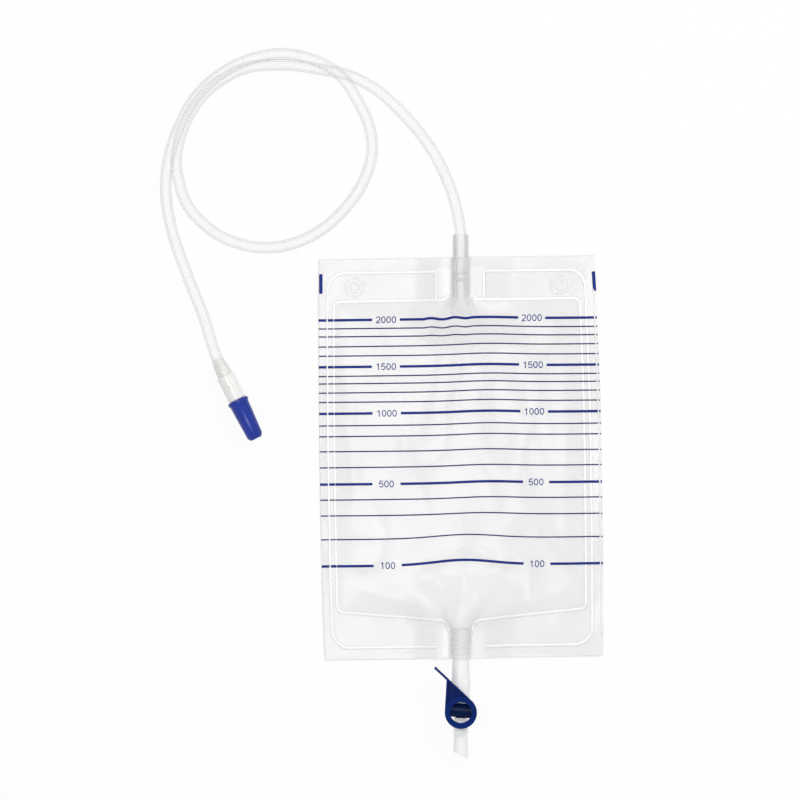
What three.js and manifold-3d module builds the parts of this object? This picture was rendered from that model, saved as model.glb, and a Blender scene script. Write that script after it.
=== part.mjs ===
// A 2000 ml urine drainage bag lying on its back: two welded films, the inlet tube with its
// connector and cap, and the drain with a lever tap. Millimetres, +Z up, +Y towards the inlet.
import * as THREE from "three";
import { mergeVertices } from "three/addons/utils/BufferGeometryUtils.js";
import Module from "manifold-3d";

const wasm = await Module();
wasm.setup();

const degrees = Math.PI / 180;

// Clearances
const seatGap = 0.3; // between pieces that touch
const runningGap = 0.3; // between the turning plug and its barrel

// Bag
const bagWidth = 213;
const bagHeight = 308;
const bagTurn = 0.9 * degrees; // the bag lies turned a little against its tubes
const filmThickness = 0.2;
const weldGap = 0.3; // between the films where they are welded
const pocketPuff = 2.4; // how far the front film stands off the back one in the pocket
const edgeRadius = 1;

// Weld lines, measured in from the bag's edges
const outerWeldSide = 8.3;
const outerWeldTop = 10.8;
const outerWeldBottom = 9.4;
const outerWeldRadius = 13;
const innerWeldSide = 12.8;
const innerWeldTop = 32.6;
const innerWeldBottom = 37;
const innerWeldRadius = 5;
const innerWeldDrop = 7.5; // how far the inner weld slopes down from its corners to the outlet
const throatDepth = 8; // how far it turns down beside the outlet
const inletThroatRise = 3.4; // and up beside the inlet
const throatHalfWidth = 14;
const beadWidth = 2.4;
const beadHeight = 0.45;

// Weld pads beside the ports, and the rings for hanging
const padOuterEdge = 18.5;
const padHeight = 0.4;
const hangRingAcross = 157;
const hangRingDown = 21.6;
const hangRingRadii = [7.1, 3.7];
const hangRidgeWidth = 1.1;
const hangRidgeHeight = 0.4;

// Inlet port
const inletPortRadius = 6.1;
const inletPortLength = 47.8;
const inletStandOut = 17.3; // how far the port stands out of the bag
const inletSocketDepth = 21;
const inletPassageRadius = 3.5;
const inletRibsFromMouth = [29.3, 34.2];
const portRibHeight = 0.35;
const portRibWidth = 1.6;

// Non-return valve
const leafThickness = 0.2;
const leafLength = 13;
const leafRootRadius = 5;
const leafTipHalfWidth = 8;
const leafTipHeight = 0.4;

// Inlet tube
const tubeRadius = 4.4;
const tubeSides = 10;
const tubeSteps = 80;
const tubeFlareRadius = 5.95;

// Catheter connector
const spigotLength = 14.6;
const spigotTipRadius = 3.1;
const spigotRootRadius = 4.5;
const barbHeight = 0.3;
const connectorRadius = 7.1;
const connectorEndRadius = 6.7;
const connectorLength = 20.5;
const noseRootRadius = 5;
const noseTipRadius = 3.8;
const noseLength = 26;
const connectorBoreRadius = 2.4;
const dimpleRadius = 1.3;
const dimpleDepth = 0.7;
const dimpleFromShoulder = 9;

// Protective cap
const capFlangeRadius = 8.15;
const capFlangeLength = 3.6;
const capRootRadius = 7.5;
const capTipRadius = 5.9;
const capLength = 33;
const capChamfer = 1;
const capPitRadius = 1.4;
const capPitDepth = 0.5;

// Outlet tube
const outletTubeRadius = 6.9;
const outletTubeWall = 1.3;
const outletInside = 23.3; // length inside the bag's edge
const outletDrop = 35; // length below it
const outletRibCount = 5;
const outletRibPitch = 4.2;
const firstOutletRib = 4.2;

// Lever tap
const barrelRadius = 5.2;
const barrelFloor = 1.4;
const barrelLift = 0.4; // under the barrel, above the table
const plugRadius = 3.6;
const flowRadius = 2.1;
const upperStubLength = 18.4;
const lowerStubLength = 12;
const lowerStubRadius = 4;
const stubBarb = 0.6;
const leverRingRadius = 12.3;
const leverHoleRadius = 8.1;
const leverTipRadius = 1.3;
const leverTipDistance = 26;
const leverTipAngle = 111.8 * degrees;
const leverHeight = 5.5;
const leverRim = 1.1;
const leverPanel = 2.3;
const thumbPlateLength = 13.5;
const thumbPlateThickness = 1.6;
const thumbPlateDrop = 4;
const thumbBeadRadius = 1.2;
const barAngle = -5 * degrees; // the plug's crossbar, at rest with the tap shut
const barWidth = 10.2;
const barHeight = 2.7;
const barCrown = 1;
const tenonHeight = 1;
const tenonReach = 1;
const tenonLift = 1.5;
const tenonWidth = 6;

// Drain spout
const spoutRadius = 5.4;
const spoutBoreRadius = 4.3;
const spoutLength = 30.4;
const spoutSlant = 26.5 * degrees;

// Places that follow from the sizes
const outerWrap = 1 / Math.cos(15 * degrees); // the films' facets stay outside a port's round
const inletWrap = (inletPortRadius + portRibHeight + seatGap) * outerWrap;
const outletWrap = (outletTubeRadius + portRibHeight + seatGap) * outerWrap;
const tableToWeld = filmThickness + weldGap / 2;
const inletAxisZ = tableToWeld + inletWrap;
const outletAxisZ = tableToWeld + outletWrap;
const drainLength = outletDrop + seatGap + barrelRadius * 2 + seatGap + spoutLength;
const bagCentreY = (drainLength - inletStandOut) / 2; // centres the whole object on the origin
const bagTopY = bagCentreY + bagHeight / 2;
const bagBottomY = bagCentreY - bagHeight / 2;
const inletMouthY = bagTopY + inletStandOut;
const inletEndY = inletMouthY - inletPortLength;
const outletEndY = bagBottomY + outletInside;
const outletFootY = bagBottomY - outletDrop;
const tapY = outletFootY - seatGap - barrelRadius;
const spoutTopY = tapY - barrelRadius - seatGap;

// Materials
const clearFilm = new THREE.MeshStandardMaterial({
  color: 0xeceeef, roughness: 0.25, transparent: true, opacity: 0.5,
});
const frostedPort = new THREE.MeshStandardMaterial({
  color: 0xdcdedd, roughness: 0.4, transparent: true, opacity: 0.7,
});
const clearTube = new THREE.MeshStandardMaterial({
  color: 0xf2f4f4, roughness: 0.15, transparent: true, opacity: 0.5,
});
const milkyPlastic = new THREE.MeshStandardMaterial({ color: 0xeeeeea, roughness: 0.35 });
const whiteTube = new THREE.MeshStandardMaterial({ color: 0xe9eaf0, roughness: 0.4 });
const tapBlue = new THREE.MeshStandardMaterial({ color: 0x14246c, roughness: 0.35 });
const capBlue = new THREE.MeshStandardMaterial({ color: 0x2238a8, roughness: 0.3 });

// Turns a closed geometry into a solid that can be joined and cut.
function solidOf(geometry) {
  const bare = geometry.clone();
  for (const name of Object.keys(bare.attributes)) {
    if (name !== "position") bare.deleteAttribute(name);
  }
  const merged = mergeVertices(bare, 1e-4);
  const corners = [];
  for (let i = 0; i < merged.index.count; i += 3) {
    const [a, b, c] = [0, 1, 2].map((k) => merged.index.getX(i + k));
    if (a !== b && b !== c && c !== a) corners.push(a, b, c);
  }
  return new wasm.Manifold(
    new wasm.Mesh({
      numProp: 3,
      vertProperties: new Float32Array(merged.attributes.position.array),
      triVerts: new Uint32Array(corners),
    }),
  );
}

function geometryOf(solid) {
  const mesh = solid.getMesh();
  const places = new Float32Array(mesh.numVert * 3);
  for (let i = 0; i < mesh.numVert; i++) {
    places.set(mesh.vertProperties.subarray(i * mesh.numProp, i * mesh.numProp + 3), i * 3);
  }
  const geometry = new THREE.BufferGeometry();
  geometry.setAttribute("position", new THREE.BufferAttribute(places, 3));
  geometry.setIndex(new THREE.BufferAttribute(mesh.triVerts, 1));
  geometry.computeVertexNormals();
  return geometry;
}

// A turned shape about Y from [radius, y] pairs. The pairs run anticlockwise, with y up.
function turned(pairs, segments = 24) {
  const profile = pairs.map(([radius, y]) => new THREE.Vector2(radius, y));
  return new THREE.LatheGeometry(profile, segments);
}

function turnedRing(pairs, segments = 24) {
  return turned([...pairs, pairs[0]], segments);
}

function cylinderAlongY(radius, fromY, toY, segments = 24) {
  return turned([[0, fromY], [radius, fromY], [radius, toY], [0, toY]], segments);
}

function cylinderAlongZ(radius, fromZ, toZ, segments = 32) {
  return cylinderAlongY(radius, fromZ, toZ, segments).rotateX(Math.PI / 2);
}

// A smooth step down from 1 to 0 as value goes from start to end.
function fade(value, start, end) {
  const t = Math.min(Math.max((value - start) / (end - start), 0), 1);
  return 0.5 + 0.5 * Math.cos(t * Math.PI);
}

// The films. Both follow closed loops round the bag, with the same stations on each loop.
// Stations close to a port lie on the port's round; the rest share out the straight runs.
const wrapStations = [0, 0.5, 0.866, 1.1]; // share of the wrap radius
const wrapHeights = [1, 0.866, 0.5, 0];
const padFoot = 2;
const farStations = [0.2, 0.5, 0.8];
const sideStations = [0.1, 0.22, 0.36, 0.5, 0.64, 0.78, 0.9];
const cornerSteps = 3;
const humpTaper = 45; // length of the hump that a port leaves in the pocket
const humpSpread = 32; // width of the slope beside a port

function endStations(loop, wrap, level, shift) {
  const near = [...wrapStations.map((share) => share * wrap), padOuterEdge, padOuterEdge + padFoot];
  const last = loop.halfWidth - loop.radius;
  const start = near[near.length - 1];
  const far = farStations.map((share) => start + share * (last - start));
  return [...near, ...far].map((x) => {
    const slide = shift * (1 - x / loop.halfWidth);
    return { x, slide, y: level(x) };
  });
}

function halfLoop(loop, side) {
  const points = [];
  const topShift = Math.tan(bagTurn) * loop.top(0);
  const bottomShift = Math.tan(bagTurn) * loop.bottom(0);
  for (const { x, slide, y } of endStations(loop, outletWrap, loop.bottom, bottomShift)) {
    points.push([side * x + slide, y]);
  }
  const cornerX = loop.halfWidth - loop.radius;
  const lowY = loop.bottom(cornerX) + loop.radius;
  const highY = loop.top(cornerX) - loop.radius;
  for (let i = 0; i <= cornerSteps; i++) {
    const angle = (i / cornerSteps) * (Math.PI / 2);
    points.push([
      side * (cornerX + loop.radius * Math.sin(angle)),
      lowY - loop.radius * Math.cos(angle),
    ]);
  }
  for (const share of sideStations) {
    points.push([side * loop.halfWidth, lowY + share * (highY - lowY)]);
  }
  for (let i = 0; i <= cornerSteps; i++) {
    const angle = (i / cornerSteps) * (Math.PI / 2);
    points.push([
      side * (cornerX + loop.radius * Math.cos(angle)),
      highY + loop.radius * Math.sin(angle),
    ]);
  }
  const top = endStations(loop, inletWrap, loop.top, topShift).reverse();
  for (const { x, slide, y } of top) points.push([side * x + slide, y]);
  return points;
}

// One closed loop, anticlockwise from the middle of the bottom edge, turned as the bag lies.
function loopPoints(loop) {
  const right = halfLoop(loop, 1);
  const left = halfLoop(loop, -1).reverse();
  const whole = [...right, ...left.slice(1, -1)];
  const [c, s] = [Math.cos(bagTurn), Math.sin(bagTurn)];
  return whole.map(([x, y]) => [x * c - y * s, bagCentreY + x * s + y * c]);
}

function insetLoop(side, top, bottom, radius) {
  return {
    halfWidth: bagWidth / 2 - side,
    top: () => bagHeight / 2 - top,
    bottom: () => bottom - bagHeight / 2,
    radius,
  };
}

// The inner weld slopes down to the outlet and turns into both ports' throats.
function innerWeldLoop(shift) {
  const halfWidth = bagWidth / 2 - innerWeldSide - shift;
  const throat = throatHalfWidth - shift;
  const slope = (x) => Math.min(Math.max((halfWidth - x) / (halfWidth - throat), 0), 1);
  const turn = (x, wrap) => fade(x, wrap * wrapStations[3], throat);
  return {
    halfWidth,
    top: (x) =>
      bagHeight / 2 - innerWeldTop - shift + inletThroatRise * turn(x, inletWrap),
    bottom: (x) =>
      innerWeldBottom + shift - bagHeight / 2
      - innerWeldDrop * slope(x) - throatDepth * turn(x, outletWrap),
    radius: innerWeldRadius,
  };
}

const outerWeld = (shift) =>
  insetLoop(
    outerWeldSide + shift, outerWeldTop + shift, outerWeldBottom + shift,
    outerWeldRadius - shift,
  );

// How high a port lifts the films at a place: lift of the weld plane, and half the opening.
function portRise(x, y) {
  const inletShare = fade(inletEndY - y, 3, humpTaper);
  const outletShare = fade(y - outletEndY, 3, humpTaper);
  const wrap = y > bagCentreY ? inletWrap * inletShare : outletWrap * outletShare;
  if (wrap < 0.01) return { lift: 0, open: 0 };
  const across = Math.abs(x) / wrap;
  let open = 0;
  for (let i = 0; i < wrapStations.length - 1; i++) {
    const [a, b] = [wrapStations[i], wrapStations[i + 1]];
    if (across >= a && across <= b) {
      open = THREE.MathUtils.lerp(wrapHeights[i], wrapHeights[i + 1], (across - a) / (b - a));
    }
  }
  const root = wrap * wrapStations[3];
  return { lift: wrap * fade(Math.abs(x), root, root + humpSpread), open: wrap * open };
}

const pocketRings = [0.12, 0.28, 0.5, 0.78]; // share of the way from inner weld to middle line

function pocketLoop(share) {
  const edge = loopPoints(innerWeldLoop(beadWidth / 2));
  const low = outletEndY + humpTaper;
  const high = inletEndY - humpTaper;
  return edge.map(([x, y]) => {
    const middle = Math.min(Math.max(y, low), high);
    return [x * (1 - share), THREE.MathUtils.lerp(y, middle, share)];
  });
}

const half = beadWidth / 2;
const frontLoops = [
  { points: loopPoints(insetLoop(0, 0, 0, edgeRadius)) },
  { points: loopPoints(outerWeld(-half)) },
  { points: loopPoints(outerWeld(0)), bead: true },
  { points: loopPoints(outerWeld(half)) },
  { points: loopPoints(innerWeldLoop(-half)) },
  { points: loopPoints(innerWeldLoop(0)), bead: true },
  { points: loopPoints(innerWeldLoop(half)) },
  ...pocketRings.map((share) => ({ points: pocketLoop(share), share })),
];
const backLoops = frontLoops.filter((loop, i) => i !== 1 && i !== 3 && i !== 4);
const stationCount = frontLoops[0].points.length;

// Stations beside a port: on its round, at the pad, or outside it.
const wrapEnd = wrapStations.length - 1;
const padStations = [wrapEnd, wrapEnd + 1];
const halfCount = stationCount / 2;

function stationKind(index) {
  const fromBottom = Math.min(index, stationCount - index);
  const fromTop = Math.abs(halfCount - index);
  if (Math.min(fromBottom, fromTop) < wrapEnd) return "wrap";
  if (padStations.includes(fromBottom)) return "bottomPad";
  if (padStations.includes(fromTop)) return "topPad";
  return "plain";
}

// What stands proud of the front film at a station: the weld bead or the weld pad.
function proudness(loopIndex, index) {
  const kind = stationKind(index);
  const loop = frontLoops[loopIndex];
  if (kind === "topPad" && loopIndex >= 1 && loopIndex <= 6) return padHeight;
  if (kind === "bottomPad" && loopIndex <= 6) return padHeight;
  return kind === "plain" && loop.bead ? beadHeight : 0;
}

function puff(share) {
  return share ? pocketPuff * Math.sin((Math.PI / 2) * Math.min(1, share * 1.8)) : 0;
}

function frontUnderside(x, y, share) {
  const { lift, open } = portRise(x, y);
  return tableToWeld + lift + open + weldGap / 2 + puff(share);
}

function backTop(x, y) {
  const { lift, open } = portRise(x, y);
  return Math.max(tableToWeld + lift - open - weldGap / 2, filmThickness);
}

// Closes a stack of loops, its top heights and its bottom heights, into one thin solid.
function sheet(loops, topOf, bottomOf) {
  const places = [];
  const corners = [];
  const faces = (a, b, c, flip) => corners.push(a, flip ? c : b, flip ? b : c);
  const surface = (heightOf, flip) => {
    const start = places.length / 3;
    loops.forEach((loop, i) =>
      loop.points.forEach(([x, y], j) => places.push(x, y, heightOf(x, y, loop, i, j))),
    );
    const at = (i, j) => start + i * stationCount + (j % stationCount);
    for (let i = 0; i < loops.length - 1; i++) {
      for (let j = 0; j < stationCount; j++) {
        faces(at(i, j), at(i, j + 1), at(i + 1, j + 1), flip);
        faces(at(i, j), at(i + 1, j + 1), at(i + 1, j), flip);
      }
    }
    const last = loops.length - 1;
    for (let j = 0; j < halfCount; j++) {
      const [r, s] = [at(last, j), at(last, j + 1)];
      const [l, m] = [at(last, stationCount - j), at(last, stationCount - j - 1)];
      if (r !== l) faces(r, s, l, flip);
      if (s !== m) faces(s, m, l, flip);
    }
    return start;
  };
  const top = surface(topOf, false);
  const bottom = surface(bottomOf, true);
  for (let j = 0; j < stationCount; j++) {
    const k = (j + 1) % stationCount;
    corners.push(top + j, bottom + j, bottom + k, top + j, bottom + k, top + k);
  }
  const geometry = new THREE.BufferGeometry();
  geometry.setAttribute("position", new THREE.Float32BufferAttribute(places, 3));
  geometry.setIndex(corners);
  return geometry;
}

// A round ridge that stiffens the place where the bag hangs.
function hangRidge(side, radius) {
  const floor = tableToWeld + weldGap / 2 + filmThickness / 2;
  const crown = floor + filmThickness / 2 + hangRidgeHeight;
  const inner = radius - hangRidgeWidth / 2;
  const outer = radius + hangRidgeWidth / 2;
  const ridge = turnedRing([[inner, floor], [outer, floor], [radius + 0.1, crown],
    [radius - 0.1, crown]]).rotateX(Math.PI / 2);
  const [x, y] = [(side * hangRingAcross) / 2, bagHeight / 2 - hangRingDown];
  const [c, s] = [Math.cos(bagTurn), Math.sin(bagTurn)];
  return ridge.translate(x * c - y * s, bagCentreY + x * s + y * c, 0);
}

function frontFilm() {
  const film = sheet(
    frontLoops,
    (x, y, loop, i, j) => frontUnderside(x, y, loop.share) + filmThickness + proudness(i, j),
    (x, y, loop) => frontUnderside(x, y, loop.share),
  );
  let solid = solidOf(film);
  for (const side of [-1, 1]) {
    for (const radius of hangRingRadii) solid = solid.add(solidOf(hangRidge(side, radius)));
  }
  return geometryOf(solid);
}

function backFilm() {
  return sheet(
    backLoops,
    (x, y) => backTop(x, y),
    (x, y) => backTop(x, y) - filmThickness,
  );
}

// The ribs that the welding leaves on a port, as points of its outer profile going up.
function ribPoints(radius, y) {
  return [
    [radius, y - portRibWidth / 2],
    [radius + portRibHeight, y],
    [radius, y + portRibWidth / 2],
  ];
}

function inletPort() {
  const socket = tubeRadius + seatGap;
  const socketFloor = inletMouthY - inletSocketDepth - seatGap;
  const ribs = [...inletRibsFromMouth].reverse()
    .flatMap((down) => ribPoints(inletPortRadius, inletMouthY - down));
  return turnedRing([
    [inletPassageRadius, inletEndY],
    [inletPortRadius, inletEndY],
    ...ribs,
    [inletPortRadius, inletMouthY - 0.5],
    [inletPortRadius - 0.5, inletMouthY],
    [socket, inletMouthY],
    [socket, socketFloor],
    [inletPassageRadius, socketFloor],
  ]).translate(0, 0, inletAxisZ);
}

// One film leaf of the flat valve sleeve: round at the port, flat at its lips.
function valveLeaf(side) {
  const rows = 5;
  const columns = 8;
  const places = [];
  const corners = [];
  const startY = inletEndY - seatGap;
  for (const skin of [1, 0]) {
    for (let r = 0; r <= rows; r++) {
      const along = r / rows;
      const y = startY - along * leafLength;
      const flat = 1 - fade(along, 0, 1);
      const width = THREE.MathUtils.lerp(leafRootRadius, leafTipHalfWidth, flat);
      const height = THREE.MathUtils.lerp(leafRootRadius, leafTipHeight, flat);
      const middle = tableToWeld + portRise(0, y).lift;
      for (let c = 0; c <= columns; c++) {
        const angle = (c / columns) * Math.PI;
        places.push(
          (width + skin * leafThickness) * Math.cos(angle),
          y,
          middle + side * (seatGap / 2 + (height + skin * leafThickness) * Math.sin(angle)),
        );
      }
    }
  }
  const stride = columns + 1;
  const inner = stride * (rows + 1);
  const quad = (a, b, c, d) => {
    if (side > 0) corners.push(a, b, c, a, c, d);
    else corners.push(a, c, b, a, d, c);
  };
  for (let r = 0; r < rows; r++) {
    for (let c = 0; c < columns; c++) {
      const a = r * stride + c;
      quad(a, a + 1, a + stride + 1, a + stride);
      quad(inner + a, inner + a + stride, inner + a + stride + 1, inner + a + 1);
    }
    const [first, last] = [r * stride, r * stride + columns];
    quad(first, first + stride, inner + first + stride, inner + first);
    quad(last, inner + last, inner + last + stride, last + stride);
  }
  for (let c = 0; c < columns; c++) {
    const end = rows * stride + c;
    quad(c, inner + c, inner + c + 1, c + 1);
    quad(end, end + 1, inner + end + 1, inner + end);
  }
  const geometry = new THREE.BufferGeometry();
  geometry.setAttribute("position", new THREE.Float32BufferAttribute(places, 3));
  geometry.setIndex(corners);
  return geometry;
}

// Route of the inlet tube's middle line from the port's mouth, x and y from the mouth, and the
// height above the table. It rises over its own first turn and lies on it for a while.
const tubeRoute = [
  [-2, 14.4, 7.4], [-7.4, 34.4, 6], [-18.1, 58.2, 4.7], [-31.6, 78.2, 4.5],
  [-49.2, 97.8, 4.5], [-64.6, 111.2, 4.5], [-84.4, 121.6, 4.5], [-108, 126.9, 4.5],
  [-133.3, 130.2, 4.5], [-164, 128.1, 4.5], [-182.5, 119.3, 4.5], [-197.1, 107.4, 4.5],
  [-211.3, 85.5, 4.5], [-218.2, 59, 4.5], [-215.5, 38.2, 4.5], [-208, 20.2, 4.5],
  [-188.6, 1.4, 4.5], [-169.4, -7.1, 4.5], [-150.5, -10.1, 4.5], [-129.5, -7.1, 4.5],
  [-108, 2.9, 4.5], [-88.8, 19.8, 4.5], [-75, 39.8, 4.5], [-68, 62.8, 4.9],
  [-70.3, 83.6, 7], [-79.6, 103.5, 11], [-91.9, 121.2, 13.9], [-108, 131.6, 13.8],
  [-132.9, 138.1, 12], [-157.9, 135, 12.2], [-180.9, 124.5, 13.2], [-201.4, 106.6, 13.8],
  [-214.9, 83.4, 13.8], [-223.2, 59, 12.6], [-226, 33.6, 8.8], [-221.6, 4.1, 5.2],
  [-210.1, -30.1, 4.6], [-197.5, -62, 5.2],
];
const connectorAxisZ = capFlangeRadius + 0.1;
const noseAngle = -63.8 * degrees; // the way the connector points on the table
const shoulder = new THREE.Vector3(-180.4, inletMouthY - 108.1, connectorAxisZ);
const noseWay = new THREE.Vector3(Math.cos(noseAngle), Math.sin(noseAngle), 0);

// The tube from inside the port to the connector's shoulder.
function inletTube() {
  const points = [
    new THREE.Vector3(0, inletMouthY - inletSocketDepth, inletAxisZ),
    new THREE.Vector3(0, inletMouthY, inletAxisZ),
    ...tubeRoute.map(([x, y, z]) => new THREE.Vector3(x, inletMouthY + y, z)),
    shoulder.clone().addScaledVector(noseWay, -spigotLength),
    shoulder.clone().addScaledVector(noseWay, -seatGap),
  ];
  const section = new THREE.Shape();
  section.absarc(0, 0, tubeRadius, 0, Math.PI * 2);
  const rod = new THREE.ExtrudeGeometry(section, {
    steps: tubeSteps,
    curveSegments: tubeSides / 2,
    extrudePath: new THREE.CatmullRomCurve3(points, false, "centripetal"),
  });
  const flareStart = tubeRadius - 0.3;
  const flare = turned([
    [0, -spigotLength - 4], [flareStart, -spigotLength - 4],
    [tubeRadius + 0.2, -spigotLength + 1], [tubeFlareRadius, -3],
    [tubeFlareRadius, -seatGap], [0, -seatGap],
  ]);
  const cavity = turned([
    [0, -spigotLength - seatGap], [spigotTipRadius + seatGap, -spigotLength - seatGap],
    [spigotRootRadius + barbHeight + seatGap, -3],
    [spigotRootRadius + barbHeight + seatGap, 1], [0, 1],
  ]);
  return geometryOf(
    solidOf(rod).add(solidOf(onConnectorAxis(flare))).subtract(solidOf(onConnectorAxis(cavity))),
  );
}

// Moves a shape that was turned about Y to the connector's axis, y = 0 at its shoulder.
function onConnectorAxis(geometry) {
  return geometry
    .rotateZ(noseAngle - Math.PI / 2)
    .translate(shoulder.x, shoulder.y, shoulder.z);
}

function connector() {
  const barb = (y) => {
    const share = (y + spigotLength) / spigotLength;
    const radius = THREE.MathUtils.lerp(spigotTipRadius, spigotRootRadius, share);
    return [[radius, y - 2.4], [radius + barbHeight, y], [radius, y + 0.3]];
  };
  const noseTipY = connectorLength + noseLength;
  const body = turnedRing([
    [connectorBoreRadius, -spigotLength],
    [spigotTipRadius - 0.3, -spigotLength],
    ...barb(-9.5), ...barb(-5.5),
    [spigotRootRadius, -2], [spigotRootRadius, 0],
    [connectorRadius - 0.6, 0], [connectorRadius, 0.8],
    [connectorEndRadius, connectorLength - 0.5], [connectorEndRadius - 0.5, connectorLength],
    [noseRootRadius, connectorLength], [noseTipRadius, noseTipY - 0.6],
    [noseTipRadius - 0.5, noseTipY], [connectorBoreRadius, noseTipY],
  ]);
  const dimple = cylinderAlongY(dimpleRadius, 0, connectorRadius, 12)
    .rotateX(Math.PI / 2)
    .translate(0, dimpleFromShoulder, connectorRadius - dimpleDepth);
  return geometryOf(solidOf(body).subtract(solidOf(dimple)));
}

// The cap slides off along the connector's axis.
function protectiveCap() {
  const mouth = connectorLength + seatGap;
  const wellRoot = noseRootRadius + seatGap;
  const wellTip = noseTipRadius + seatGap;
  const wellFloor = connectorLength + noseLength + seatGap;
  const end = mouth + capLength;
  return turned([
    [0, wellFloor], [wellTip, wellFloor], [wellRoot, mouth + 0.6], [wellRoot + 0.5, mouth],
    [capFlangeRadius - 0.7, mouth], [capFlangeRadius, mouth + 0.8],
    [capFlangeRadius, mouth + capFlangeLength - 1],
    [capRootRadius, mouth + capFlangeLength],
    [capTipRadius, end - capChamfer], [capTipRadius - capChamfer, end],
    [capPitRadius, end], [capPitRadius, end - capPitDepth], [0, end - capPitDepth],
  ]);
}

// The outlet tube, welded into the seam above and stretched over the tap's barb below.
function outletTube() {
  const bore = outletTubeRadius - outletTubeWall;
  const barbY = tapY + barrelRadius + upperStubLength - 3;
  const ribs = Array.from({ length: outletRibCount }, (_, i) =>
    ribPoints(outletTubeRadius, bagBottomY + firstOutletRib + i * outletRibPitch)).flat();
  return turnedRing([
    [bore, outletFootY],
    [outletTubeRadius, outletFootY],
    [outletTubeRadius, barbY - 7],
    [outletTubeRadius + stubBarb, barbY],
    [outletTubeRadius, barbY + 6],
    ...ribs,
    [outletTubeRadius, outletEndY],
    [bore, outletEndY],
    [bore, barbY + 6],
    [bore + stubBarb, barbY],
    [bore, barbY - 7],
  ]).translate(0, 0, outletAxisZ);
}

const barrelTopZ = outletAxisZ + outletTubeRadius;
const barFloorZ = barrelTopZ + seatGap;
const leverFloorZ = outletAxisZ + outletTubeRadius + stubBarb + seatGap;
const leverTopZ = leverFloorZ + leverHeight;
const plugFloorZ = barrelLift + barrelFloor + seatGap;
const tenonZ = barFloorZ + tenonLift;

// The tap's body: an upright barrel for the plug, and a barbed stub each way.
function tapBody() {
  const stubRadius = outletTubeRadius - outletTubeWall - seatGap;
  const upperEnd = barrelRadius + upperStubLength;
  const lowerEnd = -barrelRadius - lowerStubLength;
  const barrel = cylinderAlongZ(barrelRadius, barrelLift, barrelTopZ);
  const upper = turned([
    [0, 0], [stubRadius, 0], [stubRadius, upperEnd - 10], [stubRadius + stubBarb, upperEnd - 3],
    [stubRadius - 0.4, upperEnd], [0, upperEnd],
  ]).translate(0, 0, outletAxisZ);
  const lower = turned([
    [0, lowerEnd], [lowerStubRadius - 0.5, lowerEnd], [lowerStubRadius, lowerEnd + 1.5],
    [lowerStubRadius, 0], [0, 0],
  ]).translate(0, 0, outletAxisZ);
  const way = cylinderAlongY(flowRadius, lowerEnd - 1, upperEnd + 1, 16)
    .translate(0, 0, outletAxisZ);
  const well = cylinderAlongZ(plugRadius + runningGap, barrelLift + barrelFloor, barrelTopZ + 1);
  return geometryOf(
    solidOf(barrel).add(solidOf(upper)).add(solidOf(lower))
      .subtract(solidOf(way)).subtract(solidOf(well)),
  );
}

// The plug: a round stem with a cross hole, and a crowned bar across its head with a tenon at
// each end for the lever's ring.
function tapPlug() {
  const stem = cylinderAlongZ(plugRadius, plugFloorZ, barFloorZ + 0.5);
  const reach = leverHoleRadius - seatGap;
  const crown = new THREE.Shape();
  crown.moveTo(-barWidth / 2, 0);
  crown.lineTo(barWidth / 2, 0);
  crown.lineTo(barWidth / 2, barHeight - barCrown);
  crown.quadraticCurveTo(0, barHeight + barCrown, -barWidth / 2, barHeight - barCrown);
  const bar = new THREE.ExtrudeGeometry(crown, {
    depth: reach * 2, bevelEnabled: false, curveSegments: 8,
  }).translate(0, 0, -reach).rotateX(Math.PI / 2).rotateZ(Math.PI / 2).translate(0, 0, barFloorZ);
  const round = cylinderAlongZ(reach, barFloorZ - 1, leverTopZ, 48);
  const tenonLength = 2 * (leverHoleRadius + tenonReach);
  const tenon = new THREE.BoxGeometry(tenonLength, tenonWidth, tenonHeight)
    .translate(0, 0, tenonZ + tenonHeight / 2);
  const hole = cylinderAlongY(flowRadius, -plugRadius * 2, plugRadius * 2, 16)
    .rotateZ(Math.PI / 2).translate(0, 0, outletAxisZ);
  return geometryOf(
    solidOf(bar).intersect(solidOf(round)).add(solidOf(tenon)).add(solidOf(stem))
      .subtract(solidOf(hole)),
  ).rotateZ(barAngle);
}

// The outline round two circles, the lever's ring at the origin and a small one at its tip.
function dropOutline(ringRadius, tipRadius, distance) {
  const spread = Math.acos((ringRadius - tipRadius) / distance);
  const [left, right] = [leverTipAngle + spread, leverTipAngle - spread];
  const tip = [Math.cos(leverTipAngle) * distance, Math.sin(leverTipAngle) * distance];
  const outline = new THREE.Shape();
  outline.absarc(tip[0], tip[1], tipRadius, right, left);
  outline.absarc(0, 0, ringRadius, left, right + 2 * Math.PI);
  return outline;
}

function plate(outline, fromZ, toZ, curveSegments) {
  return new THREE.ExtrudeGeometry(outline, {
    depth: toZ - fromZ, bevelEnabled: false, curveSegments,
  }).translate(0, 0, fromZ);
}

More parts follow.
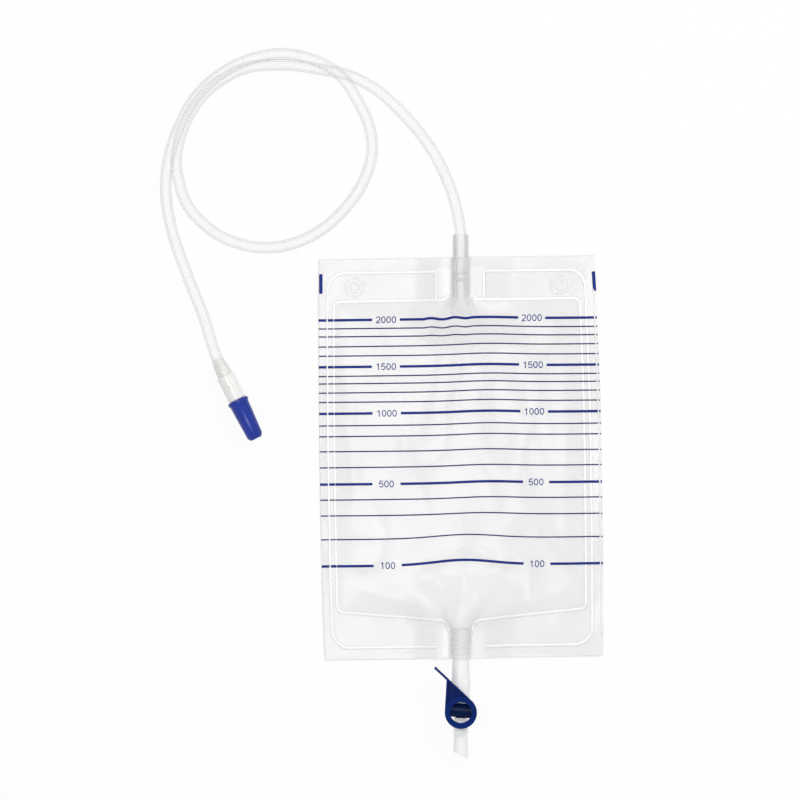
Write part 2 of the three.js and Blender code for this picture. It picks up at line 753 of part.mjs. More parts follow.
// The lever: a drop-shaped dish round a ring, with a thumb plate that carries on the line of
// its right edge.
function tapLever() {
  const drop = plate(
    dropOutline(leverRingRadius, leverTipRadius, leverTipDistance), leverFloorZ, leverTopZ, 24,
  );
  const dishTip = Math.max(leverTipRadius - leverRim, 0.2);
  const dish = plate(
    dropOutline(leverRingRadius - leverRim, dishTip, leverTipDistance - 1),
    leverFloorZ + leverPanel, leverTopZ + 1, 24,
  );
  const ring = cylinderAlongZ(leverRingRadius, leverFloorZ, leverTopZ + 2, 48);
  const hole = cylinderAlongZ(leverHoleRadius, leverFloorZ - 1, leverTopZ + 1, 48);
  const slotLength = 2 * (leverHoleRadius + tenonReach + seatGap);
  const slot = new THREE.BoxGeometry(
    slotLength, tenonWidth + 2 * seatGap, tenonHeight + 2 * seatGap,
  ).translate(0, 0, tenonZ + tenonHeight / 2).rotateZ(barAngle);

  const spread = Math.acos((leverRingRadius - leverTipRadius) / leverTipDistance);
  const wall = leverTipAngle - spread; // the way that the right edge faces
  const start = leverTipRadius - thumbPlateThickness / 2;
  const plateZ = leverFloorZ - thumbPlateDrop;
  const thumb = new THREE.BoxGeometry(
    thumbPlateThickness, thumbPlateLength, leverTopZ - plateZ,
  ).translate(start, thumbPlateLength / 2, (leverTopZ + plateZ) / 2);
  const bead = cylinderAlongZ(thumbBeadRadius, plateZ, leverTopZ, 12)
    .translate(start, thumbPlateLength, 0);
  const place = (geometry) => geometry.rotateZ(wall).translate(
    Math.cos(leverTipAngle) * leverTipDistance, Math.sin(leverTipAngle) * leverTipDistance, 0,
  );
  return geometryOf(
    solidOf(drop).subtract(solidOf(dish).subtract(solidOf(ring)))
      .add(solidOf(place(thumb))).add(solidOf(place(bead)))
      .subtract(solidOf(hole)).subtract(solidOf(slot)),
  );
}

// The soft spout, cut on the slant at its foot.
function drainSpout() {
  const foot = -spoutLength;
  const pipe = turnedRing([
    [spoutBoreRadius, foot - spoutRadius], [spoutRadius, foot - spoutRadius], [spoutRadius, 0],
    [spoutBoreRadius, 0],
  ]);
  const size = spoutRadius * 6;
  const cut = new THREE.BoxGeometry(size, size, size).translate(-spoutRadius, -size / 2, 0)
    .rotateZ(-spoutSlant).translate(spoutRadius, foot, 0);
  return geometryOf(solidOf(pipe).subtract(solidOf(cut)))
    .translate(0, spoutTopY, outletAxisZ);
}

function mesh(name, geometry, material) {
  const made = new THREE.Mesh(geometry, material);
  made.name = name;
  return made;
}

const bag = new THREE.Group();
bag.add(
  mesh("back_film", backFilm(), clearFilm),
  mesh("front_film", frontFilm(), clearFilm),
  mesh("inlet_port", inletPort(), frostedPort),
  mesh("valve_front_leaf", valveLeaf(1), clearFilm),
  mesh("valve_back_leaf", valveLeaf(-1), clearFilm),
  mesh("inlet_tube", inletTube(), clearTube),
  mesh("outlet_tube", outletTube(), whiteTube),
  mesh("drain_spout", drainSpout(), whiteTube),
);

const patientEnd = new THREE.Group();
patientEnd.position.copy(shoulder);
patientEnd.rotation.z = noseAngle - Math.PI / 2;
patientEnd.add(
  mesh("connector", connector(), milkyPlastic),
  mesh("protective_cap", protectiveCap(), capBlue),
);

const tap = new THREE.Group();
tap.position.set(0, tapY, 0);
tap.add(
  mesh("tap_body", tapBody(), tapBlue),
  mesh("tap_plug", tapPlug(), tapBlue),
  mesh("tap_lever", tapLever(), tapBlue),
);

const drainageBag = new THREE.Group();
drainageBag.add(bag, patientEnd, tap);

export default drainageBag;
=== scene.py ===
import math

import bmesh
import bpy
from mathutils import Matrix, Vector, noise


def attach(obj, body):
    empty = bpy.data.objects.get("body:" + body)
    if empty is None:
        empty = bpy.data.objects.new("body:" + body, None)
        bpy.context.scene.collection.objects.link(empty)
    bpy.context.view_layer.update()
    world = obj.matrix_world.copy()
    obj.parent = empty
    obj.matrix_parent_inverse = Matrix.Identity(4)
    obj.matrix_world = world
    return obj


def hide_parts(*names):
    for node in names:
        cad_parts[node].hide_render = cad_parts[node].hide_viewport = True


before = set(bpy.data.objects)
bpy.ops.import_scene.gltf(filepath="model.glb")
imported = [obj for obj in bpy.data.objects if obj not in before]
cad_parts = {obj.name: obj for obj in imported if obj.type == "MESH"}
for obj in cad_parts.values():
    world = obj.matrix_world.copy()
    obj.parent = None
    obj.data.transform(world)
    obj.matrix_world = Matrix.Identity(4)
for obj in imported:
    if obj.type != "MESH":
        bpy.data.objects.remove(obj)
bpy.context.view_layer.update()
mm = 0.001
print("frame loaded:", len(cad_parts), "nodes")

# Camera, straight above the table
cameraSetup = {"centre": (-0.0465, 0.0740), "height": 4.0, "frameWidth": 0.6144, "sensor": 36.0}


def makeCamera():
    data = bpy.data.cameras.new("photoCamera")
    data.sensor_width = cameraSetup["sensor"]
    data.lens = cameraSetup["sensor"] * cameraSetup["height"] / cameraSetup["frameWidth"]
    camera = bpy.data.objects.new("photoCamera", data)
    camera.location = (*cameraSetup["centre"], cameraSetup["height"])
    bpy.context.collection.objects.link(camera)
    bpy.context.scene.camera = camera


makeCamera()
bpy.context.scene.cycles.transparent_max_bounces = 32  # many thin clear layers lie on each other
print("camera placed")


# Materials: each mixes two near colours in soft clouds, with a fine bump
finishSetup = {"broadDetail": 3, "fineDetail": 5, "fineTimes": 6, "roughSpread": 0.25,
               "bumpHeight": 0.0002, "padWhite": (0.96, 0.96, 0.96, 1)}


def mathNode(nodes, operation, second=None, clamp=False):
    node = nodes.new("ShaderNodeMath")
    node.operation, node.use_clamp = operation, clamp
    if second is not None:
        node.inputs[1].default_value = second
    return node


def makeMottleGroup():
    group = bpy.data.node_groups.new("softMottle", "ShaderNodeTree")
    for way, names in (("INPUT", ("Scale", "Strength")), ("OUTPUT", ("Shade", "Height"))):
        for name in names:
            group.interface.new_socket(name, in_out=way, socket_type="NodeSocketFloat")
    nodes, links = group.nodes, group.links
    enter, leave = nodes.new("NodeGroupInput"), nodes.new("NodeGroupOutput")
    where = nodes.new("ShaderNodeTexCoord")
    broad, fine = nodes.new("ShaderNodeTexNoise"), nodes.new("ShaderNodeTexNoise")
    broad.inputs["Detail"].default_value = finishSetup["broadDetail"]
    fine.inputs["Detail"].default_value = finishSetup["fineDetail"]
    faster = mathNode(nodes, "MULTIPLY", finishSetup["fineTimes"])
    centred, spread = mathNode(nodes, "SUBTRACT", 0.5), mathNode(nodes, "MULTIPLY")
    links.new(where.outputs["Object"], broad.inputs["Vector"])
    links.new(where.outputs["Object"], fine.inputs["Vector"])
    links.new(enter.outputs["Scale"], broad.inputs["Scale"])
    links.new(enter.outputs["Scale"], faster.inputs[0])
    links.new(faster.outputs[0], fine.inputs["Scale"])
    links.new(broad.outputs["Fac"], centred.inputs[0])
    links.new(centred.outputs[0], spread.inputs[0])
    links.new(enter.outputs["Strength"], spread.inputs[1])
    links.new(spread.outputs[0], leave.inputs["Shade"])
    links.new(fine.outputs["Fac"], leave.inputs["Height"])
    return group


mottle = makeMottleGroup()


def mixColours(nodes, links, share, second):  # the first colour goes to input 6
    mix = nodes.new("ShaderNodeMix")
    mix.data_type = "RGBA"
    links.new(share, mix.inputs[0])
    mix.inputs[7].default_value = second
    return mix


def addClearness(nodes, links, look, shader):  # clear in the middle, denser where seen edge on
    edge, reach = nodes.new("ShaderNodeLayerWeight"), nodes.new("ShaderNodeMapRange")
    edge.inputs["Blend"].default_value = 0.5
    for socket, values in (("From", look.get("edge", (0, 1))), ("To", look["alpha"])):
        reach.inputs[socket + " Min"].default_value = values[0]
        reach.inputs[socket + " Max"].default_value = values[1]
    links.new(edge.outputs["Facing"], reach.inputs["Value"])
    links.new(reach.outputs["Result"], shader.inputs["Alpha"])


def makeMaterial(name, look):
    material = bpy.data.materials.new(name + "Finish")
    material.use_nodes = True
    nodes, links = material.node_tree.nodes, material.node_tree.links
    shader = nodes["Principled BSDF"]
    cloud = nodes.new("ShaderNodeGroup")
    cloud.node_tree = mottle
    cloud.inputs["Scale"].default_value = look["scale"]
    cloud.inputs["Strength"].default_value = look["strength"]
    share = mathNode(nodes, "ADD", 0.5, clamp=True)
    links.new(cloud.outputs["Shade"], share.inputs[0])
    tint = mixColours(nodes, links, share.outputs[0], (*look["dark"], 1))
    tint.inputs[6].default_value = (*look["color"], 1)
    if name == "film":  # its welded pads are whiter than the rest
        frosted = nodes.new("ShaderNodeAttribute")
        frosted.attribute_name = "frost"
        whiter = mixColours(nodes, links, frosted.outputs["Fac"], finishSetup["padWhite"])
        links.new(tint.outputs[2], whiter.inputs[6])
        tint = whiter
    links.new(tint.outputs[2], shader.inputs["Base Color"])
    scaled = mathNode(nodes, "MULTIPLY", finishSetup["roughSpread"])
    rough = mathNode(nodes, "ADD", look["roughness"], clamp=True)
    links.new(cloud.outputs["Shade"], scaled.inputs[0])
    links.new(scaled.outputs[0], rough.inputs[0])
    links.new(rough.outputs[0], shader.inputs["Roughness"])
    bump = nodes.new("ShaderNodeBump")
    bump.inputs["Strength"].default_value = look["bump"]
    bump.inputs["Distance"].default_value = finishSetup["bumpHeight"]
    links.new(cloud.outputs["Height"], bump.inputs["Height"])
    links.new(bump.outputs["Normal"], shader.inputs["Normal"])
    shader.inputs["Specular IOR Level"].default_value = look["gloss"]
    if "alpha" in look:
        addClearness(nodes, links, look, shader)
    return material


# Scale and strength are the clouds', gloss is the specular level. A clear look's alpha goes
# from its first value to its second as the surface turns away, over the range of edge.
lookColumns = ("color", "dark", "roughness", "bump", "scale", "strength", "gloss", "alpha", "edge")
looks = {
    "film": ((0.92, 0.92, 0.925), (0.82, 0.82, 0.83), 0.2, 0.1, 22, 1.1, 0.42, (0.22, 0.33)),
    "bead": ((1, 1, 1), (0.97, 0.97, 0.97), 0.42, 0.05, 90, 0.5, 1, (0.9, 0.97)),
    "ink": ((0.004, 0.015, 0.175), (0.013, 0.036, 0.26), 0.45, 0.2, 60, 1.6, 0.15, (0.95, 0.98)),
    "thinInk": ((0.01, 0.018, 0.09), (0.04, 0.05, 0.16), 0.45, 0.2, 60, 1.6, 0.15, (0.93, 0.97)),
    "port": ((0.74, 0.74, 0.72), (0.64, 0.64, 0.63), 0.25, 0.15, 70, 0.8, 0.5, (0.04, 0.85),
             (0.12, 0.8)),
    "tube": ((0.74, 0.74, 0.72), (0.66, 0.66, 0.64), 0.12, 0, 40, 0.3, 0.5, (0.055, 0.95),
             (0.35, 1)),
    "leaf": ((1, 1, 1), (0.86, 0.86, 0.86), 0.2, 0.1, 90, 2, 0.5, (0.06, 0.4), (0, 0.6)),
    "milky": ((0.95, 0.95, 0.93), (0.87, 0.87, 0.85), 0.3, 0.15, 80, 0.6, 0.6, (0.88, 0.97)),
    "drain": ((1, 1, 1), (0.95, 0.955, 0.96), 0.38, 0.1, 70, 0.5, 0.3, (0.92, 0.98)),
    "tap": ((0.004, 0.013, 0.11), (0, 0.021, 0.15), 0.35, 0.12, 60, 1.8, 0.03),
    # The plug's colours are a darker copy of the tap's, though both are the same plastic: painted
    # shade for its bar deep in the lever's ring
    "plug": ((0.001, 0.006, 0.035), (0.002, 0.014, 0.065), 0.14, 0.02, 90, 0.8, 0.045),
    "cap": ((0.004, 0.032, 0.36), (0.002, 0.018, 0.22), 0.32, 0.02, 110, 1.2, 0.38),
}
finishes = {name: makeMaterial(name, dict(zip(lookColumns, row))) for name, row in looks.items()}
print("materials made:", len(finishes))


# Helpers that every piece uses
def meshOf(bm, name):
    mesh = bpy.data.meshes.new(name)
    bm.to_mesh(mesh)
    bm.free()
    return mesh


def applied(piece):
    graph = bpy.context.evaluated_depsgraph_get()
    return bpy.data.meshes.new_from_object(piece.evaluated_get(graph))


def temporary(name, data):
    piece = bpy.data.objects.new(name, data)
    bpy.context.collection.objects.link(piece)
    return piece


def addPiece(name, bm, finish, body, replaced=(), sharp=38):
    mesh = meshOf(bm, name)
    mesh.polygons.foreach_set("use_smooth", [True] * len(mesh.polygons))
    mesh.set_sharp_from_angle(angle=math.radians(sharp))
    mesh.materials.clear()
    mesh.materials.append(finishes[finish])
    piece = temporary(name, mesh)
    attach(piece, body)
    if replaced:
        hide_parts(*replaced)
    return piece


def thicken(piece, thickness):  # grows down from the surface
    solid = piece.modifiers.new("wall", "SOLIDIFY")
    solid.thickness, solid.offset = thickness, -1


def soften(piece, width, segments=2):
    bevel = piece.modifiers.new("softEdges", "BEVEL")
    bevel.width, bevel.segments, bevel.limit_method = width, segments, "ANGLE"
    bevel.angle_limit = math.radians(40)


def turned(pairs, steps=64, ring=False):  # (radius, y) pairs in mm, turned about Y
    bm = bmesh.new()
    verts = [bm.verts.new((radius * mm, y * mm, 0)) for radius, y in pairs]
    for a, b in zip(verts, verts[1:]):
        bm.edges.new((a, b))
    if ring:
        bm.edges.new((verts[-1], verts[0]))
    bmesh.ops.spin(bm, geom=bm.verts[:] + bm.edges[:], cent=(0, 0, 0), axis=(0, 1, 0),
                   angle=2 * math.pi, steps=steps, use_merge=True)
    bmesh.ops.remove_doubles(bm, verts=bm.verts[:], dist=1e-6)
    bmesh.ops.recalc_face_normals(bm, faces=bm.faces[:])
    return bm


def moved(bm, matrix):
    bmesh.ops.transform(bm, matrix=matrix, verts=bm.verts[:])
    return bm


def shift(x=0, y=0, z=0):  # in mm
    return Matrix.Translation((x * mm, y * mm, z * mm))


def combine(base, tool, operation):  # both are bmeshes, and so is what comes back
    first = temporary("base", meshOf(base, "base"))
    second = temporary("tool", meshOf(tool, "tool"))
    join = first.modifiers.new("join", "BOOLEAN")
    join.operation, join.object, join.solver = operation, second, "EXACT"
    result = bmesh.new()
    result.from_mesh(applied(first))
    bpy.data.objects.remove(first)
    bpy.data.objects.remove(second)
    return result


def upright(radius, low, high, steps=48, foot=1):  # a round bar along Z, or a cone
    bm = bmesh.new()
    bmesh.ops.create_cone(bm, cap_ends=True, segments=steps, radius1=radius * foot * mm,
                          radius2=radius * mm, depth=(high - low) * mm)
    return moved(bm, shift(z=(low + high) / 2))


def along(radius, low, high, steps=32):  # a round bar along Y
    return turned([(0, low), (radius, low), (radius, high), (0, high)], steps)


def block(size, centre):
    bm = bmesh.new()
    bmesh.ops.create_cube(bm, size=1, matrix=Matrix.Diagonal((*[s * mm for s in size], 1)))
    return moved(bm, shift(*centre))


# Inlet tube, a cord: its route's points are the CAD route's, in metres. Its other measures are
# in mm. Towards the connector it widens: (distance from its end, radius) outside and inside.
tubeSetup = {"radius": 4.4, "outside": [(2.7, 5.95), (13.3, 4.6), (18.3, 4.4)],
             "inside": [(2.7, 5.1), (14.6, 3.4), (15.5, 3.1)], "samples": 840, "pathStep": 2,
             "spigot": 14.6, "seatGap": 0.3, "socketDepth": 21, "rimReach": 8}
mouth = Vector((0, 0.20085, 0.007338))  # the inlet port's, where the tube comes out
shoulder = Vector((-0.1804, 0.09275, 0.00825))  # the connector's, where the tube ends
noseAngle = math.radians(-63.8)
noseWay = Vector((math.cos(noseAngle), math.sin(noseAngle), 0))
tubeRoute = [
    (-0.0020, 0.2152, 0.0074), (-0.0074, 0.2352, 0.0060), (-0.0181, 0.2591, 0.0047),
    (-0.0316, 0.2791, 0.0045), (-0.0492, 0.2986, 0.0045), (-0.0646, 0.3120, 0.0045),
    (-0.0844, 0.3225, 0.0045), (-0.1080, 0.3277, 0.0045), (-0.1333, 0.3310, 0.0045),
    (-0.1640, 0.3289, 0.0045), (-0.1825, 0.3201, 0.0045), (-0.1971, 0.3083, 0.0045),
    (-0.2113, 0.2864, 0.0045), (-0.2182, 0.2599, 0.0045), (-0.2155, 0.2391, 0.0045),
    (-0.2080, 0.2210, 0.0045), (-0.1886, 0.2023, 0.0045), (-0.1694, 0.1938, 0.0045),
    (-0.1505, 0.1908, 0.0045), (-0.1295, 0.1938, 0.0045), (-0.1080, 0.2037, 0.0045),
    (-0.0888, 0.2207, 0.0045), (-0.0750, 0.2406, 0.0045), (-0.0680, 0.2636, 0.0049),
    (-0.0703, 0.2844, 0.0070), (-0.0796, 0.3044, 0.0110), (-0.0919, 0.3221, 0.0139),
    (-0.1080, 0.3324, 0.0138), (-0.1329, 0.3389, 0.0120), (-0.1579, 0.3359, 0.0122),
    (-0.1809, 0.3254, 0.0132), (-0.2014, 0.3075, 0.0138), (-0.2149, 0.2843, 0.0138),
    (-0.2232, 0.2599, 0.0126), (-0.2260, 0.2344, 0.0088), (-0.2216, 0.2049, 0.0052),
    (-0.2101, 0.1708, 0.0046), (-0.1975, 0.1389, 0.0052),
]


def smoothLine(points, samples):  # the same smooth curve through the points as the CAD tube's
    points = [2 * points[0] - points[1], *points, 2 * points[-1] - points[-2]]
    line = []
    last = len(points) - 3
    for k in range(samples + 1):
        i = min(int(k / samples * last), last - 1)
        t = k / samples * last - i
        a, b, c, d = points[i:i + 4]
        ab, bc, cd = [(q - p).length ** 0.5 for p, q in ((a, b), (b, c), (c, d))]
        leave = ((b - a) / ab - (c - a) / (ab + bc) + (c - b) / bc) * bc
        arrive = ((c - b) / bc - (d - b) / (bc + cd) + (d - c) / cd) * bc
        line.append((2 * t ** 3 - 3 * t ** 2 + 1) * b + (t ** 3 - 2 * t ** 2 + t) * leave
                    + (3 * t ** 2 - 2 * t ** 3) * c + (t ** 3 - t ** 2) * arrive)
    return line


def between(value, table):  # straight between the (value, result) pairs
    if value <= table[0][0]:
        return table[0][1]
    for (a, p), (b, q) in zip(table, table[1:]):
        if value <= b:
            return p + (q - p) * (value - a) / (b - a)
    return table[-1][1]


def tubeSkin(line, radii):
    curve = bpy.data.curves.new("tubeSkin", "CURVE")
    curve.dimensions, curve.bevel_depth, curve.bevel_resolution = "3D", mm, 14
    spline = curve.splines.new("POLY")
    spline.points.add(len(line) - 1)
    for point, where, radius in zip(spline.points, line, radii):
        point.co, point.radius = (*where, 1), radius
    skin = temporary("tubeSkin", curve)
    mesh = applied(skin)
    bpy.data.objects.remove(skin)
    return mesh


def makeInletTube():
    s = tubeSetup
    points = [mouth - Vector((0, s["socketDepth"] * mm, 0)), mouth,
              *[Vector(p) for p in tubeRoute],
              shoulder - noseWay * s["spigot"] * mm, shoulder - noseWay * s["seatGap"] * mm]
    line = smoothLine(points, s["samples"])
    toEnd = [0]
    for a, b in zip(line[::-1], line[-2::-1]):
        toEnd.append(toEnd[-1] + (a - b).length / mm)
    toEnd.reverse()
    bm = bmesh.new()
    bm.from_mesh(tubeSkin(line, [between(d, s["inside"]) for d in toEnd]))
    bmesh.ops.reverse_faces(bm, faces=bm.faces[:])
    bm.from_mesh(tubeSkin(line, [between(d, s["outside"]) for d in toEnd]))
    for end in (line[0], line[-1]):  # close the wall at both ends
        near = s["rimReach"] * mm
        rims = [e for e in bm.edges if e.is_boundary and (e.verts[0].co - end).length < near]
        bmesh.ops.bridge_loops(bm, edges=rims)
    bmesh.ops.recalc_face_normals(bm, faces=bm.faces[:])
    tube = addPiece("inletTube", bm, "tube", "bag", ["inlet_tube"], sharp=60)
    return tube, line[::s["pathStep"]]


inletTube, tubeLine = makeInletTube()
tubeLength = sum((b - a).length for a, b in zip(tubeLine, tubeLine[1:]))
print("inlet tube made:", round(tubeLength, 4), "m")

# Connector and cap, on the tube's far end: both turn about Y, from the connector's shoulder on
connectorSetup = {"length": 20.5, "radius": 7.1, "endRadius": 6.7, "edge": 0.5,
                  "noseLength": 26, "noseRoot": 5, "noseTip": 3.8, "bore": 2.4,
                  "barbs": [(2.8, -14.6), (3.58, -11.9), (3.88, -9.5), (3.58, -9.2),
                            (3.9, -7.9), (4.27, -5.5), (3.97, -5.2), (4.5, -2), (4.5, 0)],
                  "dimple": 2, "dimpleFoot": 0.4, "dimpleDeep": 2.4, "dimpleAt": 9.5,
                  "dimpleTurn": math.radians(20)}
capSetup = {"gap": 0.3, "flange": 8.15, "flangeLength": 3.6, "root": 7.5, "tip": 6.1,
            "length": 33, "well": 4.1, "wellMouth": 5.3, "lead": 5.8, "pit": 1.6,
            "pitDeep": 1.2, "dimple": 0.9, "dimpleFoot": 6.3, "dimpleAt": 18, "softEdge": 0.25}
patientEnd = Matrix.Translation(shoulder) @ Matrix.Rotation(noseAngle - math.pi / 2, 4, "Z")


def makeConnector():
    s = connectorSetup
    foot, tip, edge = s["length"], s["length"] + s["noseLength"], s["edge"]
    body = turned([
        (s["bore"], s["barbs"][0][1]), *s["barbs"], (s["radius"] - 0.6, 0), (s["radius"], 0.8),
        (s["endRadius"], foot - edge), (s["endRadius"] - edge, foot), (s["noseRoot"], foot),
        (s["noseTip"], tip - 0.6), (s["noseTip"] - edge, tip), (s["bore"], tip)], ring=True)
    dimple = moved(upright(s["dimple"], s["radius"] - s["dimpleDeep"], s["radius"] + 1,
                           foot=s["dimpleFoot"]),
                   Matrix.Rotation(s["dimpleTurn"], 4, "Y") @ shift(y=s["dimpleAt"]))
    body = moved(combine(body, dimple, "DIFFERENCE"), patientEnd)
    return addPiece("connectorBody", body, "milky", "bag", ["connector"])


def makeCap():
    s = capSetup
    start = connectorSetup["length"] + s["gap"]
    end = start + s["length"]
    well = connectorSetup["length"] + connectorSetup["noseLength"] + s["gap"]
    pitFloor = end - s["pitDeep"]
    body = turned([
        (0, well), (s["well"], well), (s["wellMouth"], start + 0.6), (s["lead"], start),
        (s["flange"] - 0.7, start), (s["flange"], start + 0.8),
        (s["flange"], start + s["flangeLength"] - 1), (s["root"], start + s["flangeLength"]),
        (s["tip"] + 0.1, end - 2.6), (s["tip"] - 0.3, end - 1.9), (s["tip"] - 1.7, end),
        (s["pit"], end), (s["pit"], pitFloor), (0, pitFloor)])
    dimple = moved(upright(s["dimple"], s["dimpleFoot"], 9), shift(y=start + s["dimpleAt"]))
    body = moved(combine(body, dimple, "DIFFERENCE"), patientEnd)
    cap = addPiece("capBody", body, "cap", "cap", ["protective_cap"])
    soften(cap, s["softEdge"] * mm)
    return cap


connectorBody, capBody = makeConnector(), makeCap()
print("connector and cap made")

# The bag's own measures in mm, in line with the CAD films. On the flat bag u runs across and
# v up, both from its middle, and x and y are the frame's.
bag = {"halfWidth": 106.5, "halfHeight": 154, "centreY": 29.55, "turn": math.radians(0.9),
       "bulge": 2.0, "lean": 1.5, "leanFrom": 20, "leanTo": 150, "film": 0.2,
       "frontHeight": 0.7, "puff": 2.4, "puffReach": 9, "inletEnd": 153.05,
       "outletEnd": -101.15}
# How the films rise round the ports and sink back past them
rise = {"inletWrap": 6.988, "outletWrap": 7.816, "flat": 3, "taper": 45, "spread": 32,
        "widen": 0.07, "ease": 14, "shoulder": 0.9, "shoulderHeight": 0.436, "foot": 1.12,
        "hump": 1.5, "root": 1.1}
# The weld lines: the inner one slopes down to the drain and turns out at both ports
welds = {"outerSide": 98.2, "outerTop": 143.2, "outerFoot": -144.6, "outerCorner": 13,
         "innerSide": 93.7, "innerTop": 121.4, "innerFoot": -117, "innerCorner": 5,
         "footSlope": 7.5, "footDip": 8, "topRise": 3.4, "inletHalf": 7.7, "outletHalf": 8.6,
         "portSide": 14}
# The weld pads beside the ports, the lower ones with a scalloped edge
pads = {"outer": 18.5, "height": 0.4, "inletSide": 6.9, "outletSide": 7.7,
        "topFrom": 123.5, "topTo": 145.8, "footFrom": -155, "footTo": -132.3,
        "scallop": 0.45, "scallopPitch": 4.2}
# The free margin outside the welds, which lifts off the table here and there
curl = {"side": 98.5, "top": 143.5, "foot": -144.8, "height": 1.6, "reach": 9, "wave": 34}
scalePerPixel, photoZeroX, photoZeroY = 0.768, 460.6, 496.3  # mm, and the photo's origin


def fromPhoto(px, py):
    return (px - photoZeroX) * scalePerPixel, (photoZeroY - py) * scalePerPixel


def fade(value, start, end):  # 1 before start, 0 past end and smooth between
    t = min(max((value - start) / (end - start), 0), 1)
    return 0.5 + 0.5 * math.cos(t * math.pi)


def sideBulge(u, v):  # the film's long sides bow out a little between the corners
    t = min(max((bag["halfHeight"] - v) / (2 * bag["halfHeight"]), 0), 1)
    out = bag["bulge"] * math.sqrt(math.sin(math.pi * t)) * (0.85 + 0.35 * t)
    if u > 0:  # and the right one leans in towards the top
        out -= bag["lean"] * (1 - fade(v, bag["leanFrom"], bag["leanTo"]))
    return 1 + out / bag["halfWidth"]


def toRow(u, v):
    c, s = math.cos(bag["turn"]), math.sin(bag["turn"])
    u *= sideBulge(u, v)
    return u * c - v * s, bag["centreY"] + u * s + v * c


def toBag(x, y):
    c, s = math.cos(bag["turn"]), math.sin(bag["turn"])
    dy = y - bag["centreY"]
    u, v = x * c + dy * s, dy * c - x * s
    return u / sideBulge(u, v), v


def portRise(x, y):  # lift of the weld plane, and half the opening, round a port and past it
    top = y > bag["centreY"]
    wrap = rise["inletWrap"] if top else rise["outletWrap"]
    past = max(bag["inletEnd"] - y if top else y - bag["outletEnd"], 0)
    height = wrap * fade(past, rise["flat"], rise["taper"])
    if height < 0.01:
        return 0, 0
    wide = wrap * (1 + rise["widen"] * max(past - 1, 0))
    across, soft = abs(x) / wide, min(past / rise["ease"], 1)
    if across < rise["shoulder"]:  # round on the port, then straight down to the weld
        tight = math.sqrt(1 - across * across)
    else:
        drop = (rise["foot"] - across) / (rise["foot"] - rise["shoulder"])
        tight = max(0, rise["shoulderHeight"] * drop)
    hump = 0.5 + 0.5 * math.cos(math.pi * min(across / rise["hump"], 1))
    root = wide * rise["root"]
    return (height * fade(abs(x), root, root + rise["spread"]),
            height * (tight * (1 - soft) + hump * soft))


def innerBottom(u):
    slope = (welds["innerSide"] - u) / (welds["innerSide"] - welds["portSide"])
    dip = welds["footDip"] * fade(u, welds["outletHalf"], welds["portSide"])
    return welds["innerFoot"] - welds["footSlope"] * min(max(slope, 0), 1) - dip


def innerTop(u):
    return welds["innerTop"] + welds["topRise"] * fade(u, welds["inletHalf"], welds["portSide"])


def fromPorts(u, v):  # distance from the ports' line, which stands upright in the photo
    return abs(u - v * math.tan(bag["turn"]))


def pocketDepth(u, v):  # how far a place lies inside the inner weld
    across = fromPorts(u, v)
    return min(welds["innerSide"] - abs(u), innerTop(across) - v, v - innerBottom(across))


# Folds in the front film, from photo pixels: start, end, half width and height in mm
folds = [
    ((450, 300), (430, 350), 2.6, 1.1), ((444, 304), (418, 440), 4.5, 1.1),
    ((462, 312), (452, 440), 3.5, -0.9), ((474, 303), (522, 350), 3.5, 0.9),
    ((470, 306), (490, 430), 4.5, 1.0), ((440, 300), (372, 330), 4, 0.6),
    ((482, 301), (566, 326), 4, 0.6), ((463, 578), (456, 618), 1.8, 1.3),
    ((424, 560), (450, 614), 3, 1.0), ((505, 560), (478, 614), 3.6, 1.1),
    ((356, 586), (440, 618), 4, 0.8), ((568, 588), (486, 618), 4.5, 0.8),
    ((415, 572), (465, 545), 4, 1.2), ((465, 545), (516, 568), 4, 1.2),
    ((346, 330), (354, 570), 6, 0.7), ((571, 330), (563, 570), 6, 0.7),
    ((505, 380), (545, 470), 5, 0.7), ((395, 420), (432, 520), 5, 0.6),
    ((470, 440), (500, 520), 4, 0.7), ((520, 500), (572, 560), 5, 0.8),
    ((350, 470), (392, 545), 5, 0.6), ((436, 622), (452, 630), 1.6, 0.6),
]
folds = [(fromPhoto(*a), fromPhoto(*b), width, height) for a, b, width, height in folds]


def foldHeight(x, y):
    total = 0
    for (ax, ay), (bx, by), width, height in folds:
        dx, dy = bx - ax, by - ay
        t = min(max(((x - ax) * dx + (y - ay) * dy) / (dx * dx + dy * dy), 0), 1)
        away = math.hypot(x - ax - t * dx, y - ay - t * dy) / width
        if away < 3:
            total += height * math.exp(-away * away) * (0.35 + 0.65 * math.sin(math.pi * t))
    return total


# Soft waves over the pocket: height, length along x and y in mm, and a level of the noise
waves = [(1.1, 42, 70, 0.3), (0.4, 15, 24, 5.1)]
ridges = {"height": 0.9, "x": 38, "y": 52, "level": 2.6, "narrow": 2.4}
margins = {"height": 0.5, "length": 20, "level": 9.7, "lowest": -0.2, "reach": 16}


def waveAt(x, y, longX, longY, level):
    return noise.noise(Vector((x / longX, y / longY, level)))


def wrinkles(x, y, depth):
    inside = 1 - fade(depth, 0, margins["reach"])
    wave = sum(height * waveAt(x, y, *rest) for height, *rest in waves)
    ridge = 1 - ridges["narrow"] * abs(waveAt(x, y, ridges["x"], ridges["y"], ridges["level"]))
    wave += ridges["height"] * max(ridge, 0) ** 3
    margin = waveAt(x, y, margins["length"], margins["length"], margins["level"])
    margin = margins["height"] * max(margin, margins["lowest"])
    return inside * (wave + foldHeight(x, y)) + (1 - inside) * margin


def edgeCurl(x, y):
    u, v = toBag(x, y)
    beyond = max(abs(u) - curl["side"], v - curl["top"], curl["foot"] - v)
    if beyond <= 0:
        return 0
    wave = max(waveAt(x, y, curl["wave"], curl["wave"], 7.4) + 0.25, 0)
    return (curl["height"] * wave * (1 - fade(beyond, 0, curl["reach"]))
            * (1 - fade(abs(x), 12, 30)))  # none beside the ports


